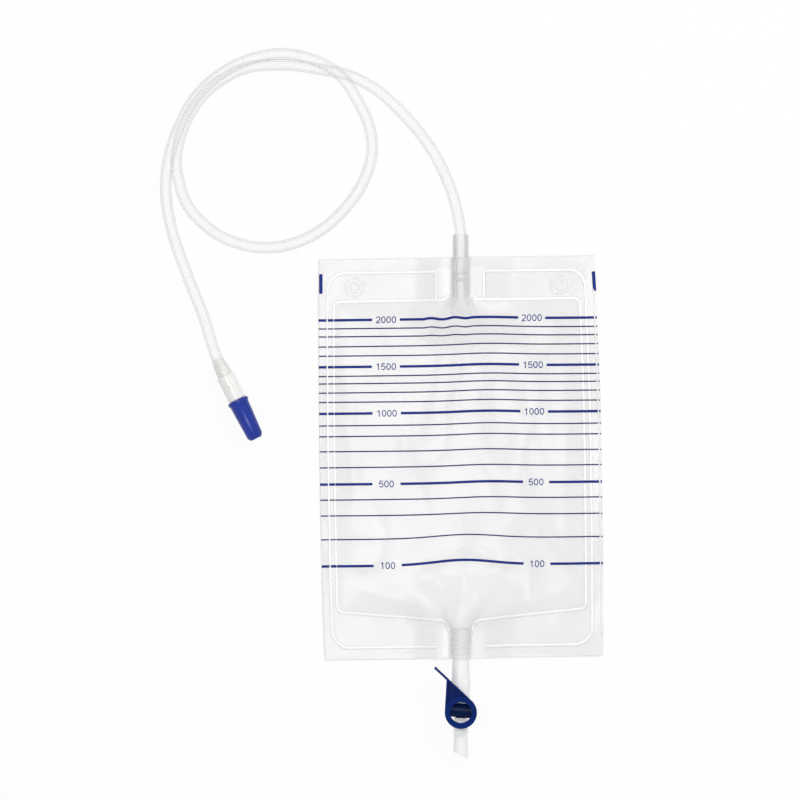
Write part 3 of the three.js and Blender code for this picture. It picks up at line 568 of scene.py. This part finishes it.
def band(value, low, high, soft=0.5):  # 1 from low to high, with soft ends outside them
    return (1 - fade(value, low - soft, low)) * fade(value, high, high + soft)


def frost(x, y):  # 1 on the weld pads beside the ports
    u, v = toBag(x, y)
    across = fromPorts(u, v)
    top = band(v, pads["topFrom"], pads["topTo"]) * band(across, pads["inletSide"], pads["outer"])
    wavy = across + pads["scallop"] * math.sin(2 * math.pi * v / pads["scallopPitch"])
    bottom = band(v, pads["footFrom"], pads["footTo"])
    return max(top, bottom * band(wavy, pads["outletSide"], pads["outer"]))


def frontTop(x, y):
    lift, opening = portRise(x, y)
    depth = pocketDepth(*toBag(x, y))
    puff = bag["puff"] * (1 - math.exp(-max(depth, 0) / bag["puffReach"]))
    crease = max(wrinkles(x, y, depth), -0.6 * puff - 0.12) + edgeCurl(x, y)
    return bag["frontHeight"] + lift + opening + puff + crease + pads["height"] * frost(x, y)


def backTop(x, y):
    lift, opening = portRise(x, y)
    return max(bag["film"] + lift - opening, bag["film"]) + edgeCurl(x, y)


def spacing(low, high, zones, coarse, fine):  # values with fine steps in the zones
    values = [low]
    while values[-1] < high - 1e-6:
        here = values[-1]
        step = fine if any(a - 1e-6 <= here < b for a, b in zones) else coarse
        ends = [a for a, _ in zones if here + 1e-6 < a < here + step]
        values.append(min([here + step, high, *ends]))
    return values


# The films' points lie closer together round the ports
wide, high = bag["halfWidth"], bag["halfHeight"]
columns = spacing(-wide, wide, [(-21, 21)], 1.6, 0.8)
rows = spacing(-high, high, [(-high, -112), (112, high)], 1.7, 1.0)


def filmSheet(name, heightOf, node):
    bm = bmesh.new()
    nx, ny = len(columns) - 1, len(rows) - 1
    bmesh.ops.create_grid(bm, x_segments=nx, y_segments=ny, size=0.5)
    frostLayer = bm.verts.layers.float.new("frost")
    for vert in bm.verts:
        i, j = round((vert.co.x + 0.5) * nx), round((vert.co.y + 0.5) * ny)
        x, y = toRow(columns[i], rows[j])
        vert.co = (x * mm, y * mm, heightOf(x, y) * mm)
        vert[frostLayer] = frost(x, y)
    film = addPiece(name, bm, "film", "bag", [node], sharp=180)
    thicken(film, bag["film"] * mm)
    return film


backFilm = filmSheet("backFilm", backTop, "back_film")
frontFilm = filmSheet("frontFilm", frontTop, "front_film")
print("films made:", len(columns) * len(rows), "points each")


# Ribbons that lie on the front film: weld beads, hang rings and the printed scale
def addRibbon(bm, path, width, lift, crown, across=6):
    count = len(path) - 1
    made = bmesh.ops.create_grid(bm, x_segments=count, y_segments=across, size=0.5)["verts"]
    for vert in made:
        i, share = round((vert.co.x + 0.5) * count), vert.co.y * 2
        ax, ay = path[max(i - 1, 0)]
        bx, by = path[min(i + 1, count)]
        if path[0] == path[-1] and i in (0, count):
            (ax, ay), (bx, by) = path[-2], path[1]
        length = math.hypot(bx - ax, by - ay)
        x = path[i][0] - (by - ay) / length * share * width / 2
        y = path[i][1] + (bx - ax) / length * share * width / 2
        under = 0 if crown else sideBeadHeight(x, y)  # print runs over the side welds
        z = frontTop(x, y) + under + lift + crown * (1 - share * share)
        vert.co = (x * mm, y * mm, z * mm)


def sideBeadHeight(x, y):
    u, v = toBag(x, y)
    lines = (welds["outerSide"], welds["innerSide"])
    away = min(abs(u - spread(u, centre) - slide(centre, v)) for centre in lines)
    away /= beadSetup["width"] / 2
    return beadSetup["lift"] + beadSetup["crown"] * (1 - away * away) if away < 1 else 0


def ribbonPiece(name, paths, width, lift, crown, finish, wall=0.12, across=6):
    bm = bmesh.new()
    for path in paths:
        addRibbon(bm, path, width, lift, crown, across)
    bmesh.ops.remove_doubles(bm, verts=bm.verts[:], dist=1e-7)
    thicken(addPiece(name, bm, finish, "bag", sharp=180), wall * mm)


def arc(centre, radius, start, end, count=12):
    return [(centre[0] + radius * math.cos(start + (end - start) * k / count),
             centre[1] + radius * math.sin(start + (end - start) * k / count))
            for k in range(count + 1)]


def closer(points, step=1.6):  # the same line with points no further apart than the step
    path = [points[0]]
    for a, b in zip(points, points[1:]):
        count = max(1, math.ceil(math.dist(a, b) / step))
        path += [(a[0] + (b[0] - a[0]) * k / count, a[1] + (b[1] - a[1]) * k / count)
                 for k in range(1, count + 1)]
    return path


def slide(u, v):  # the welds follow the ports near the middle and the bag's edges outside
    return math.tan(bag["turn"]) * v * (1 - u / bag["halfWidth"])


def spread(side, u):  # the left welds lie a little further out than the right ones
    return math.copysign(u, side) * (beadSetup["leftSpread"] if side < 0 else 1)


def onBag(side, points):
    return [toRow(spread(side, u) + slide(u, v), v) for u, v in closer(points)]


beadSetup = {"width": 2.2, "crown": 0.28, "lift": 0.09, "leftSpread": 1.013,
             "throatX": 15.9, "throatRadius": 6.5, "throatFoot": (9.2, -9)}
creaseSetup = {"width": 0.9, "crown": 0.3,
               "line": [(104.6, 128), (104.7, 0), (104.5, -120), (105.6, -138)]}
ringSetup = {"width": 1.0, "crown": 0.3, "u": 78.5, "v": 132.4, "radii": (7.1, 3.7)}
quarter = math.pi / 2


def cornerArc(side, level, radius, down, count):  # rounds a weld's upper or lower corner
    towards = 1 if down else -1
    start, end = (0, -quarter) if down else (quarter, 0)
    return arc((side - radius, level + towards * radius), radius, start, end, count)


def outerBead():
    return [(pads["outer"], welds["outerTop"]),
            *cornerArc(welds["outerSide"], welds["outerTop"], welds["outerCorner"], False, 12),
            *cornerArc(welds["outerSide"], welds["outerFoot"], welds["outerCorner"], True, 12),
            (pads["outer"], welds["outerFoot"])]


def innerBead():
    side, corner, throat = welds["innerSide"], welds["innerCorner"], beadSetup["throatRadius"]
    top = innerBottom(beadSetup["throatX"])
    bend = [welds["inletHalf"], 9, 10.5, 12, 13.2, welds["portSide"]]
    return [*[(u, innerTop(u)) for u in bend],
            *cornerArc(side, welds["innerTop"], corner, False, 6),
            *cornerArc(side, innerBottom(side - corner), corner, True, 6),
            (60, innerBottom(60)), (30, innerBottom(30)),
            *arc((beadSetup["throatX"], top - throat), throat, quarter, 2 * quarter, 10),
            (beadSetup["throatFoot"][0], top + beadSetup["throatFoot"][1])]


def makeBeads():
    cell = [(pads["outer"], welds["outerTop"]), (pads["outer"], welds["innerTop"])]
    paths = [onBag(side, points) for side in (-1, 1)
             for points in (outerBead(), innerBead(), cell)]
    ribbonPiece("weldBeads", paths, beadSetup["width"], beadSetup["lift"], beadSetup["crown"],
                "bead")
    ribbonPiece("sideCrease", [onBag(1, creaseSetup["line"])], creaseSetup["width"],
                beadSetup["lift"], creaseSetup["crown"], "bead", across=4)


def makeHangRings():
    s, paths = ringSetup, []
    for side in (-1, 1):
        for radius in s["radii"]:
            ring = [toRow(*p) for p in arc((side * s["u"], s["v"]), radius, 0, 4 * quarter, 48)]
            ring[-1] = ring[0]
            paths.append(ring)
    ribbonPiece("hangRings", paths, s["width"], beadSetup["lift"], s["crown"], "bead", across=4)


makeBeads()
makeHangRings()
print("weld beads and hang rings made")

# The printed scale: left and right heights in photo pixels, and numbers where it has them
scaleLines = [
    (320.5, 317.4, "2000"), (329, 326.2, ""), (337, 334.5, ""), (347.1, 343.5, ""),
    (356.3, 353.5, ""), (367.3, 364.4, "1500"), (376.6, 373.2, ""), (384, 381.1, ""),
    (393.2, 389.9, ""), (402.5, 399.9, ""), (413.9, 411, "1000"), (426, 423, ""),
    (436.8, 433.6, ""), (451.8, 449.2, ""), (467.9, 464.4, ""), (484.6, 481.4, "500"),
    (500.2, 496.7, ""), (516, 513.1, ""), (539.8, 536.3, ""), (566.4, 563, "100"),
]
# Where a numbered line stops and starts again for its two numbers, in photo pixels
scaleGaps = {"2000": (372.2, 399.9, 518.2, 545), "1500": (372, 400, 519, 546.5),
             "1000": (372.6, 400.9, 520.3, 547.8), "500": (372.5, 400.5, 523, 549),
             "100": (373.7, 401.8, 523.5, 550.3)}
printSetup = {"thick": 1.95, "thin": 0.98, "bar": 2.6, "lift": 0.1, "wall": 0.03,
              "edgeInset": 0.35, "stroke": 0.66, "figureHeight": 4.6, "figureStep": 4.02,
              "turn": math.radians(0.65)}
# How the lines arch over the puffed pocket, in photo pixels: middle, reach and height, with
# the lower arch growing between two heights, and the ripple under the valve
arches = {"upper": (487, 38, 1.6), "lower": (464, 42, 5), "lowerGrows": (500, 565),
          "ripple": 0.8, "rippleFrom": (418, 428), "rippleTo": (462, 480),
          "rippleEnds": (322, 350), "rippleStart": 424.5, "rippleRate": 0.26}
# Short breaks in the print, in photo pixels from the bag's left and right edges
printBreaks = {"left": [(7.9, 9.1), (14.9, 15.3)], "right": [(2.9, 2.1)], "step": 0.75}
barEnds = [((320.9, 274.2), (320.9, 293.7)), ((593.4, 271.3), (594.6, 290.8))]


def edgesAt(py):  # where the bag's edges are at a height of the photo, in its pixels
    v = (photoZeroY - py) * scalePerPixel - bag["centreY"]
    inset = bag["halfWidth"] - printSetup["edgeInset"]
    return [photoZeroX + toRow(side * inset, v)[0] / scalePerPixel for side in (-1, 1)]


def arch(px, name):
    middle, reach, height = arches[name]
    return height * math.exp(-((px - middle) / reach) ** 2)


def lineHeight(px, left, right):  # of a printed line at px, from its two ends' heights
    low, high = edgesAt(left)
    py = left + (right - left) * (px - low) / (high - low)
    near = 1 - fade(left, *arches["lowerGrows"])
    peak = (1 - near) * arch(px, "upper") + near * arch(px, "lower")
    window = (1 - fade(px, *arches["rippleFrom"])) * fade(px, *arches["rippleTo"])
    ripple = math.sin((px - arches["rippleStart"]) * arches["rippleRate"])
    return py - peak - arches["ripple"] * window * fade(left, *arches["rippleEnds"]) * ripple


def printedRuns(left, right, text):  # the print misses where the film dips beside a weld
    low, high = edgesAt(left)
    breaks = [(low + a, low + b) for a, b in printBreaks["left"]]
    breaks += [(high - a, high - b) for a, b in printBreaks["right"]]
    if text:
        gaps = scaleGaps[text]
        breaks += [(gaps[0], gaps[1]), (gaps[2], gaps[3])]
    start = low
    for gapStart, gapEnd in [*sorted(breaks), (high, high)]:
        count = max(1, math.ceil((gapStart - start) / printBreaks["step"]))
        pixels = [start + (gapStart - start) * k / count for k in range(count + 1)]
        yield [fromPhoto(px, lineHeight(px, left, right)) for px in pixels]
        start = gapEnd


def printPiece(name, paths, width, finish):
    ribbonPiece(name, paths, width, printSetup["lift"], 0, finish, wall=printSetup["wall"],
                across=2)


def makeScaleLines():
    thick, thin = [], []
    for left, right, text in scaleLines:
        (thick if text else thin).extend(printedRuns(left, right, text))
    printPiece("scaleThickLines", thick, printSetup["thick"], "ink")
    printPiece("scaleThinLines", thin, printSetup["thin"], "thinInk")
    bars = [closer([fromPhoto(*top), fromPhoto(*foot)]) for top, foot in barEnds]
    printPiece("registrationBars", bars, printSetup["bar"], "ink")


def oval(cx, cy, rx, ry, start, end, count):
    return [(cx + rx * x, cy + ry * y)
            for x, y in arc((0, 0), 1, math.radians(start), math.radians(end), count)]


# Pen strokes of the scale's figures, one unit high, about a middle at (0, 0.5)
figures = {
    "0": [oval(0, 0.5, 0.3, 0.5, 90, 450, 28)],
    "1": [[(-0.2, 0.76), (-0.04, 0.86), (0.06, 1.03)], [(0.06, 1.03), (0.06, -0.06)]],
    "2": [[*oval(0, 0.72, 0.3, 0.28, 165, -25, 12), (0.14, 0.42), (-0.16, 0.2), (-0.3, 0)],
          [(-0.36, 0), (0.34, 0)]],
    "5": [[(0.28, 1), (-0.2, 1)], [(-0.2, 1.03), (-0.28, 0.46)],
          oval(0, 0.31, 0.31, 0.31, 150, -155, 16)],
}


def numberStrokes(text, px, py):
    cx, cy = fromPhoto(px, py)
    c, s = math.cos(printSetup["turn"]), math.sin(printSetup["turn"])
    for k, figure in enumerate(text):
        middle = (k - (len(text) - 1) / 2) * printSetup["figureStep"]
        for stroke in figures[figure]:
            points = [(middle + x * printSetup["figureHeight"],
                       (y - 0.5) * printSetup["figureHeight"]) for x, y in stroke]
            yield closer([(cx + x * c - y * s, cy + x * s + y * c) for x, y in points], 0.7)


def makeNumbers():
    paths = []
    for left, right, text in scaleLines:
        if text:
            gaps = scaleGaps[text]
            for px in ((gaps[0] + gaps[1]) / 2, (gaps[2] + gaps[3]) / 2):
                paths += numberStrokes(text, px, lineHeight(px, left, right))
    printPiece("scaleNumbers", paths, printSetup["stroke"], "ink")


makeScaleLines()
makeNumbers()
print("printed scale made")

# Ports, drain tube and spout, in mm: all are turned about Y, at the height of their axis
outletAxisZ = 8.166
tubeHeight = shift(z=outletAxisZ)
inletSetup = {"axisZ": 7.338, "mouth": 200.85, "radius": 6.1, "bore": 3.5, "socket": 4.7,
              "socketDepth": 21.3, "edge": 0.5, "ribsDown": (34.2, 29.3), "rib": 6.38,
              "groove": 5.3, "softGroove": 5.6}
outletSetup = {"foot": -159.45, "barb": -144.35, "radius": 6.9, "bore": 5.6, "swell": 0.6,
               "ribs": 5, "firstRib": -120.25, "ribPitch": 4.2, "ribHeight": 0.3,
               "ribShoulder": 0.05, "groove": -0.9}
spoutSetup = {"top": -169.5, "foot": -200.85, "radius": 5.4, "bore": 4.3,
              "slant": math.radians(26.5), "spare": 6}


def makeInletPort():
    s = inletSetup
    radius, rib, groove, top = s["radius"], s["rib"], s["groove"], s["mouth"]
    end, seat, ribs = bag["inletEnd"], top - s["socketDepth"], []
    for down in s["ribsDown"]:
        y = top - down
        ribs += [(radius, y - 1.6), (groove, y - 1.2), (groove, y - 0.8), (rib, y - 0.4),
                 (rib, y + 0.4), (s["softGroove"], y + 0.7), (radius, y + 1.1)]
    body = turned([(s["bore"], end), (radius, end), *ribs, (radius, top - s["edge"]),
                   (radius - s["edge"], top), (s["socket"], top), (s["socket"], seat),
                   (s["bore"], seat)], ring=True)
    body = moved(body, shift(z=s["axisZ"]))
    addPiece("inletPort", body, "port", "bag", ["inlet_port"])


def makeOutletTube():
    s = outletSetup
    radius, bore, foot, end, barb = (s["radius"], s["bore"], s["foot"], bag["outletEnd"],
                                     s["barb"])
    low, middle, high = (radius + s[part] for part in ("groove", "ribShoulder", "ribHeight"))
    ribs = []
    for k in range(s["ribs"]):
        y = s["firstRib"] + s["ribPitch"] * k
        ribs += [(low, y - 1.1), (middle, y - 0.6), (high, y), (middle, y + 0.6),
                 (low, y + 1.1), (radius, y + 1.6)]
    body = turned([(bore, foot), (radius, foot), (radius, barb - 7),
                   (radius + s["swell"], barb), (radius, barb + 6), *ribs, (radius, end),
                   (bore, end), (bore, barb + 6), (bore + s["swell"], barb),
                   (bore, barb - 7)], ring=True)
    addPiece("outletTube", moved(body, tubeHeight), "drain", "bag",
             ["outlet_tube"])


def makeSpout():
    s = spoutSetup
    low = s["foot"] - s["spare"]  # the slant cut takes the spare length off
    body = turned([(s["bore"], low), (s["radius"], low), (s["radius"], s["top"]),
                   (s["bore"], s["top"])], ring=True)
    plane = bmesh.ops.bisect_plane(
        body, geom=body.verts[:] + body.edges[:] + body.faces[:],
        plane_co=(s["radius"] * mm, s["foot"] * mm, 0),
        plane_no=(-math.sin(s["slant"]), -math.cos(s["slant"]), 0), clear_outer=True)
    bmesh.ops.bridge_loops(body, edges=[e for e in plane["geom_cut"]
                                        if isinstance(e, bmesh.types.BMEdge)])
    bmesh.ops.recalc_face_normals(body, faces=body.faces[:])
    addPiece("drainSpout", moved(body, tubeHeight), "drain", "bag",
             ["drain_spout"])


makeInletPort()
makeOutletTube()
makeSpout()
print("ports and spout made")


# Valve leaves, thin film between the port's end and the pocket: half round where they start
# and nearly flat at their lips, in mm
leafSetup = {"root": 5, "wider": 3.1, "flatter": 4.6, "start": 152.75, "length": 13,
             "gap": 0.35, "crumple": 2.6, "fray": 1.8, "wall": 0.2}


def makeLeaf(name, node, side):
    s = leafSetup
    bm = bmesh.new()
    bmesh.ops.create_grid(bm, x_segments=24, y_segments=14, size=0.5)
    for vert in bm.verts:
        angle, t = (0.5 - vert.co.x) * math.pi, 0.5 - vert.co.y
        flat = 1 - fade(t, 0, 1)
        wide, high = s["root"] + s["wider"] * flat, s["root"] - s["flatter"] * flat
        y = s["start"] - s["length"] * t
        middle = s["gap"] + portRise(0, y)[0]
        across = wide * math.cos(angle)
        fold = abs(noise.noise(Vector((across / 4.5, y / 5 + across / 9, side * 3.7))))
        fray = s["fray"] * t * noise.noise(Vector((across / 5, 0.7, side)))
        z = middle + side * (s["gap"] + high * math.sin(angle) + s["crumple"] * t * fold)
        vert.co = (across * mm, (y + fray) * mm, z * mm)
    if side < 0:
        bmesh.ops.reverse_faces(bm, faces=bm.faces[:])
    leaf = addPiece(name, bm, "leaf", "bag", [node], sharp=180)
    thicken(leaf, s["wall"] * mm)


makeLeaf("valveFrontLeaf", "valve_front_leaf", 1)
makeLeaf("valveBackLeaf", "valve_back_leaf", -1)
print("valve leaves made")

# Tap, in mm from its barrel's axis: the body stays, the plug and lever turn
tapSetup = {"y": -164.95, "barrel": 4.45, "foot": 0.4, "top": 15.066, "well": 3.9,
            "wellFoot": 1.8, "flow": 2.1,
            "upper": [(0, 0), (5.3, 0), (5.3, 13.6), (5.9, 20.6), (4.9, 23.6), (0, 23.6)],
            "lower": [(0, -17.2), (3.5, -17.2), (4, -15.7), (4, 0), (0, 0)]}
plugSetup = {"turn": math.radians(-5), "barShift": 1.5, "barWidth": 10.8, "barFoot": 15.366,
             "barTop": 18.066, "barCrown": 8, "holeGap": 0.04, "key": (18.2, 6, 1),
             "keyZ": 17.366, "keyGap": 0.6, "stem": 3.6, "stemFoot": 2.1, "stemTop": 15.9}
lever = {"ring": 12.3, "hole": 8.1, "tip": 1.3, "reach": 26, "angle": math.radians(111.8),
         "floor": 15.966, "top": 21.466, "rim": 1.1, "dishTip": 0.2, "panel": 2.3,
         "plate": 13.5, "plateWall": 1.6, "plateDrop": 4, "bead": 1.05, "softEdge": 0.35}
tapPlace = shift(y=tapSetup["y"])
quarterTurn = Matrix.Rotation(math.pi / 2, 4, "Z")


def dropSolid(ring, tip, reach, low, high):  # the hull round two circles
    bm = bmesh.new()
    for z in (low, high):
        for radius, away in ((ring, 0), (tip, reach)):
            centre = shift(math.cos(lever["angle"]) * away, math.sin(lever["angle"]) * away, z)
            bmesh.ops.create_circle(bm, segments=72, radius=radius * mm, matrix=centre)
    hull = bmesh.ops.convex_hull(bm, input=bm.verts[:])
    loose = [v for v in hull["geom_interior"] if isinstance(v, bmesh.types.BMVert)]
    bmesh.ops.delete(bm, geom=loose, context="VERTS")
    bmesh.ops.dissolve_limit(bm, angle_limit=math.radians(1), verts=bm.verts[:],
                             edges=bm.edges[:])
    return bm


def makeTapBody():  # a barrel with two stubs, a way through them and the plug's well
    s = tapSetup
    body = upright(s["barrel"], s["foot"], s["top"])
    for stub in (s["upper"], s["lower"]):
        body = combine(body, moved(turned(stub), tubeHeight), "UNION")
    way = moved(along(s["flow"], s["lower"][0][1] - 1.8, s["upper"][-1][1] + 1.4), tubeHeight)
    body = combine(body, way, "DIFFERENCE")
    body = combine(body, upright(s["well"], s["wellFoot"], s["top"] + 1.934), "DIFFERENCE")
    addPiece("tapBody", moved(body, tapPlace), "tap", "bag", ["tap_body"])


def makeTapPlug():  # a stem with a cross hole, and a crowned bar that fills the lever's ring
    s = plugSetup
    reach = lever["hole"] - s["holeGap"]
    bar = block((reach * 2, s["barWidth"], s["barTop"] - s["barFoot"]),
                (0, 0, (s["barTop"] + s["barFoot"]) / 2))
    crown = moved(along(s["barCrown"], -9, 9, 160),
                  shift(z=s["barTop"] - s["barCrown"]) @ quarterTurn)
    bar = moved(combine(bar, crown, "INTERSECT"), shift(y=s["barShift"]))
    plug = combine(bar, upright(reach, 14, 24), "INTERSECT")
    plug = combine(plug, block(s["key"], (0, 0, s["keyZ"])), "UNION")
    plug = combine(plug, upright(s["stem"], s["stemFoot"], s["stemTop"]), "UNION")
    way = moved(along(tapSetup["flow"], -8, 8), tubeHeight @ quarterTurn)
    plug = combine(plug, way, "DIFFERENCE")
    plug = moved(plug, tapPlace @ Matrix.Rotation(s["turn"], 4, "Z"))
    # The plug finish is painted shade, a darker copy of the tap's colour for the shadowed hole in
    # the lever's ring
    addPiece("tapPlug", plug, "plug", "tap_turner", ["tap_plug"])


def makeTapLever():  # a dished drop with a ring and, along one side, a thumb plate
    s = lever
    body = dropSolid(s["ring"], s["tip"], s["reach"], s["floor"], s["top"])
    dish = dropSolid(s["ring"] - s["rim"], s["dishTip"], s["reach"] - 1,
                     s["floor"] + s["panel"], s["top"] + 1)
    dish = combine(dish, upright(s["ring"], s["floor"], s["top"] + 3, 72), "DIFFERENCE")
    body = combine(body, dish, "DIFFERENCE")
    wall = s["angle"] - math.acos((s["ring"] - s["tip"]) / s["reach"])
    low = s["floor"] - s["plateDrop"]
    turn = (shift(math.cos(s["angle"]) * s["reach"], math.sin(s["angle"]) * s["reach"])
            @ Matrix.Rotation(wall, 4, "Z"))
    across = s["tip"] - s["plateWall"] / 2
    plate = block((s["plateWall"], s["plate"], s["top"] - low),
                  (across, s["plate"] / 2, (s["top"] + low) / 2))
    bead = moved(upright(s["bead"], low, s["top"], 24), shift(across, s["plate"]))
    body = combine(body, moved(plate, turn), "UNION")
    body = combine(body, moved(bead, turn), "UNION")
    body = combine(body, upright(s["hole"], s["floor"] - 2, s["top"] + 2, 72), "DIFFERENCE")
    keyway = block([side + plugSetup["keyGap"] for side in plugSetup["key"]],
                   (0, 0, plugSetup["keyZ"]))
    keyway = moved(keyway, Matrix.Rotation(plugSetup["turn"], 4, "Z"))
    body = combine(body, keyway, "DIFFERENCE")
    piece = addPiece("tapLever", moved(body, tapPlace), "tap", "tap_turner",
                     ["tap_lever"])
    soften(piece, s["softEdge"] * mm, 3)


makeTapBody()
makeTapPlug()
makeTapLever()
print("tap made")


# Floor, lamps and the light all round, in metres and watts, but for the floor's drop in mm
floorSetup = {"halfSize": 4, "drop": 0.4, "color": (0.9, 0.9, 0.9, 1), "roughness": 0.7,
              "glow": 0.9}
lamps = [("keyLamp", (0.6, 0.8, 0.95), 0.5, 4.8),
         ("overLamp", (-0.2, 0.04, 1.4), 0.6, 7.6)]  # name, place, size and power
lightSetup = {"aim": (-0.05, 0.05, 0), "room": 0.5, "background": 1}


def whiteToCamera(nodes, links):  # 1 for rays that show the background, 0 for the rest
    path = nodes.new("ShaderNodeLightPath")
    first, second = mathNode(nodes, "MAXIMUM"), mathNode(nodes, "MAXIMUM")
    links.new(path.outputs["Is Camera Ray"], first.inputs[0])
    links.new(path.outputs["Is Glossy Ray"], first.inputs[1])
    links.new(first.outputs[0], second.inputs[0])
    links.new(path.outputs["Is Transmission Ray"], second.inputs[1])
    return second.outputs[0]


def makeFloor():
    bm = bmesh.new()
    bmesh.ops.create_grid(bm, x_segments=1, y_segments=1, size=floorSetup["halfSize"])
    moved(bm, shift(z=-floorSetup["drop"]))
    material = bpy.data.materials.new("paleTable")
    material.use_nodes = True
    nodes, links = material.node_tree.nodes, material.node_tree.links
    shader, out = nodes["Principled BSDF"], nodes["Material Output"]
    shader.inputs["Base Color"].default_value = floorSetup["color"]
    shader.inputs["Roughness"].default_value = floorSetup["roughness"]
    glow, mix = nodes.new("ShaderNodeEmission"), nodes.new("ShaderNodeMixShader")
    part = mathNode(nodes, "MULTIPLY", floorSetup["glow"])
    links.new(whiteToCamera(nodes, links), part.inputs[0])
    links.new(part.outputs[0], mix.inputs[0])
    links.new(shader.outputs[0], mix.inputs[1])
    links.new(glow.outputs[0], mix.inputs[2])
    links.new(mix.outputs[0], out.inputs["Surface"])
    mesh = meshOf(bm, "floor")
    mesh.materials.append(material)
    temporary("floor", mesh)


def makeLight():
    world = bpy.data.worlds.new("softRoom")
    bpy.context.scene.world = world
    world.use_nodes = True
    nodes, links = world.node_tree.nodes, world.node_tree.links
    sky = nodes["Background"]
    sky.inputs["Color"].default_value = (1, 1, 1, 1)
    level = nodes.new("ShaderNodeMapRange")
    level.inputs["To Min"].default_value = lightSetup["room"]
    level.inputs["To Max"].default_value = lightSetup["background"]
    links.new(whiteToCamera(nodes, links), level.inputs["Value"])
    links.new(level.outputs["Result"], sky.inputs["Strength"])
    for name, where, size, watts in lamps:
        data = bpy.data.lights.new(name, "AREA")
        data.size, data.energy = size, watts
        lamp = temporary(name, data)
        lamp.location = where
        towards = Vector(lightSetup["aim"]) - lamp.location
        lamp.rotation_euler = towards.to_track_quat("-Z", "Y").to_euler()


makeFloor()
makeLight()
bpy.context.scene.view_settings.view_transform = "Standard"
print("floor and light made")
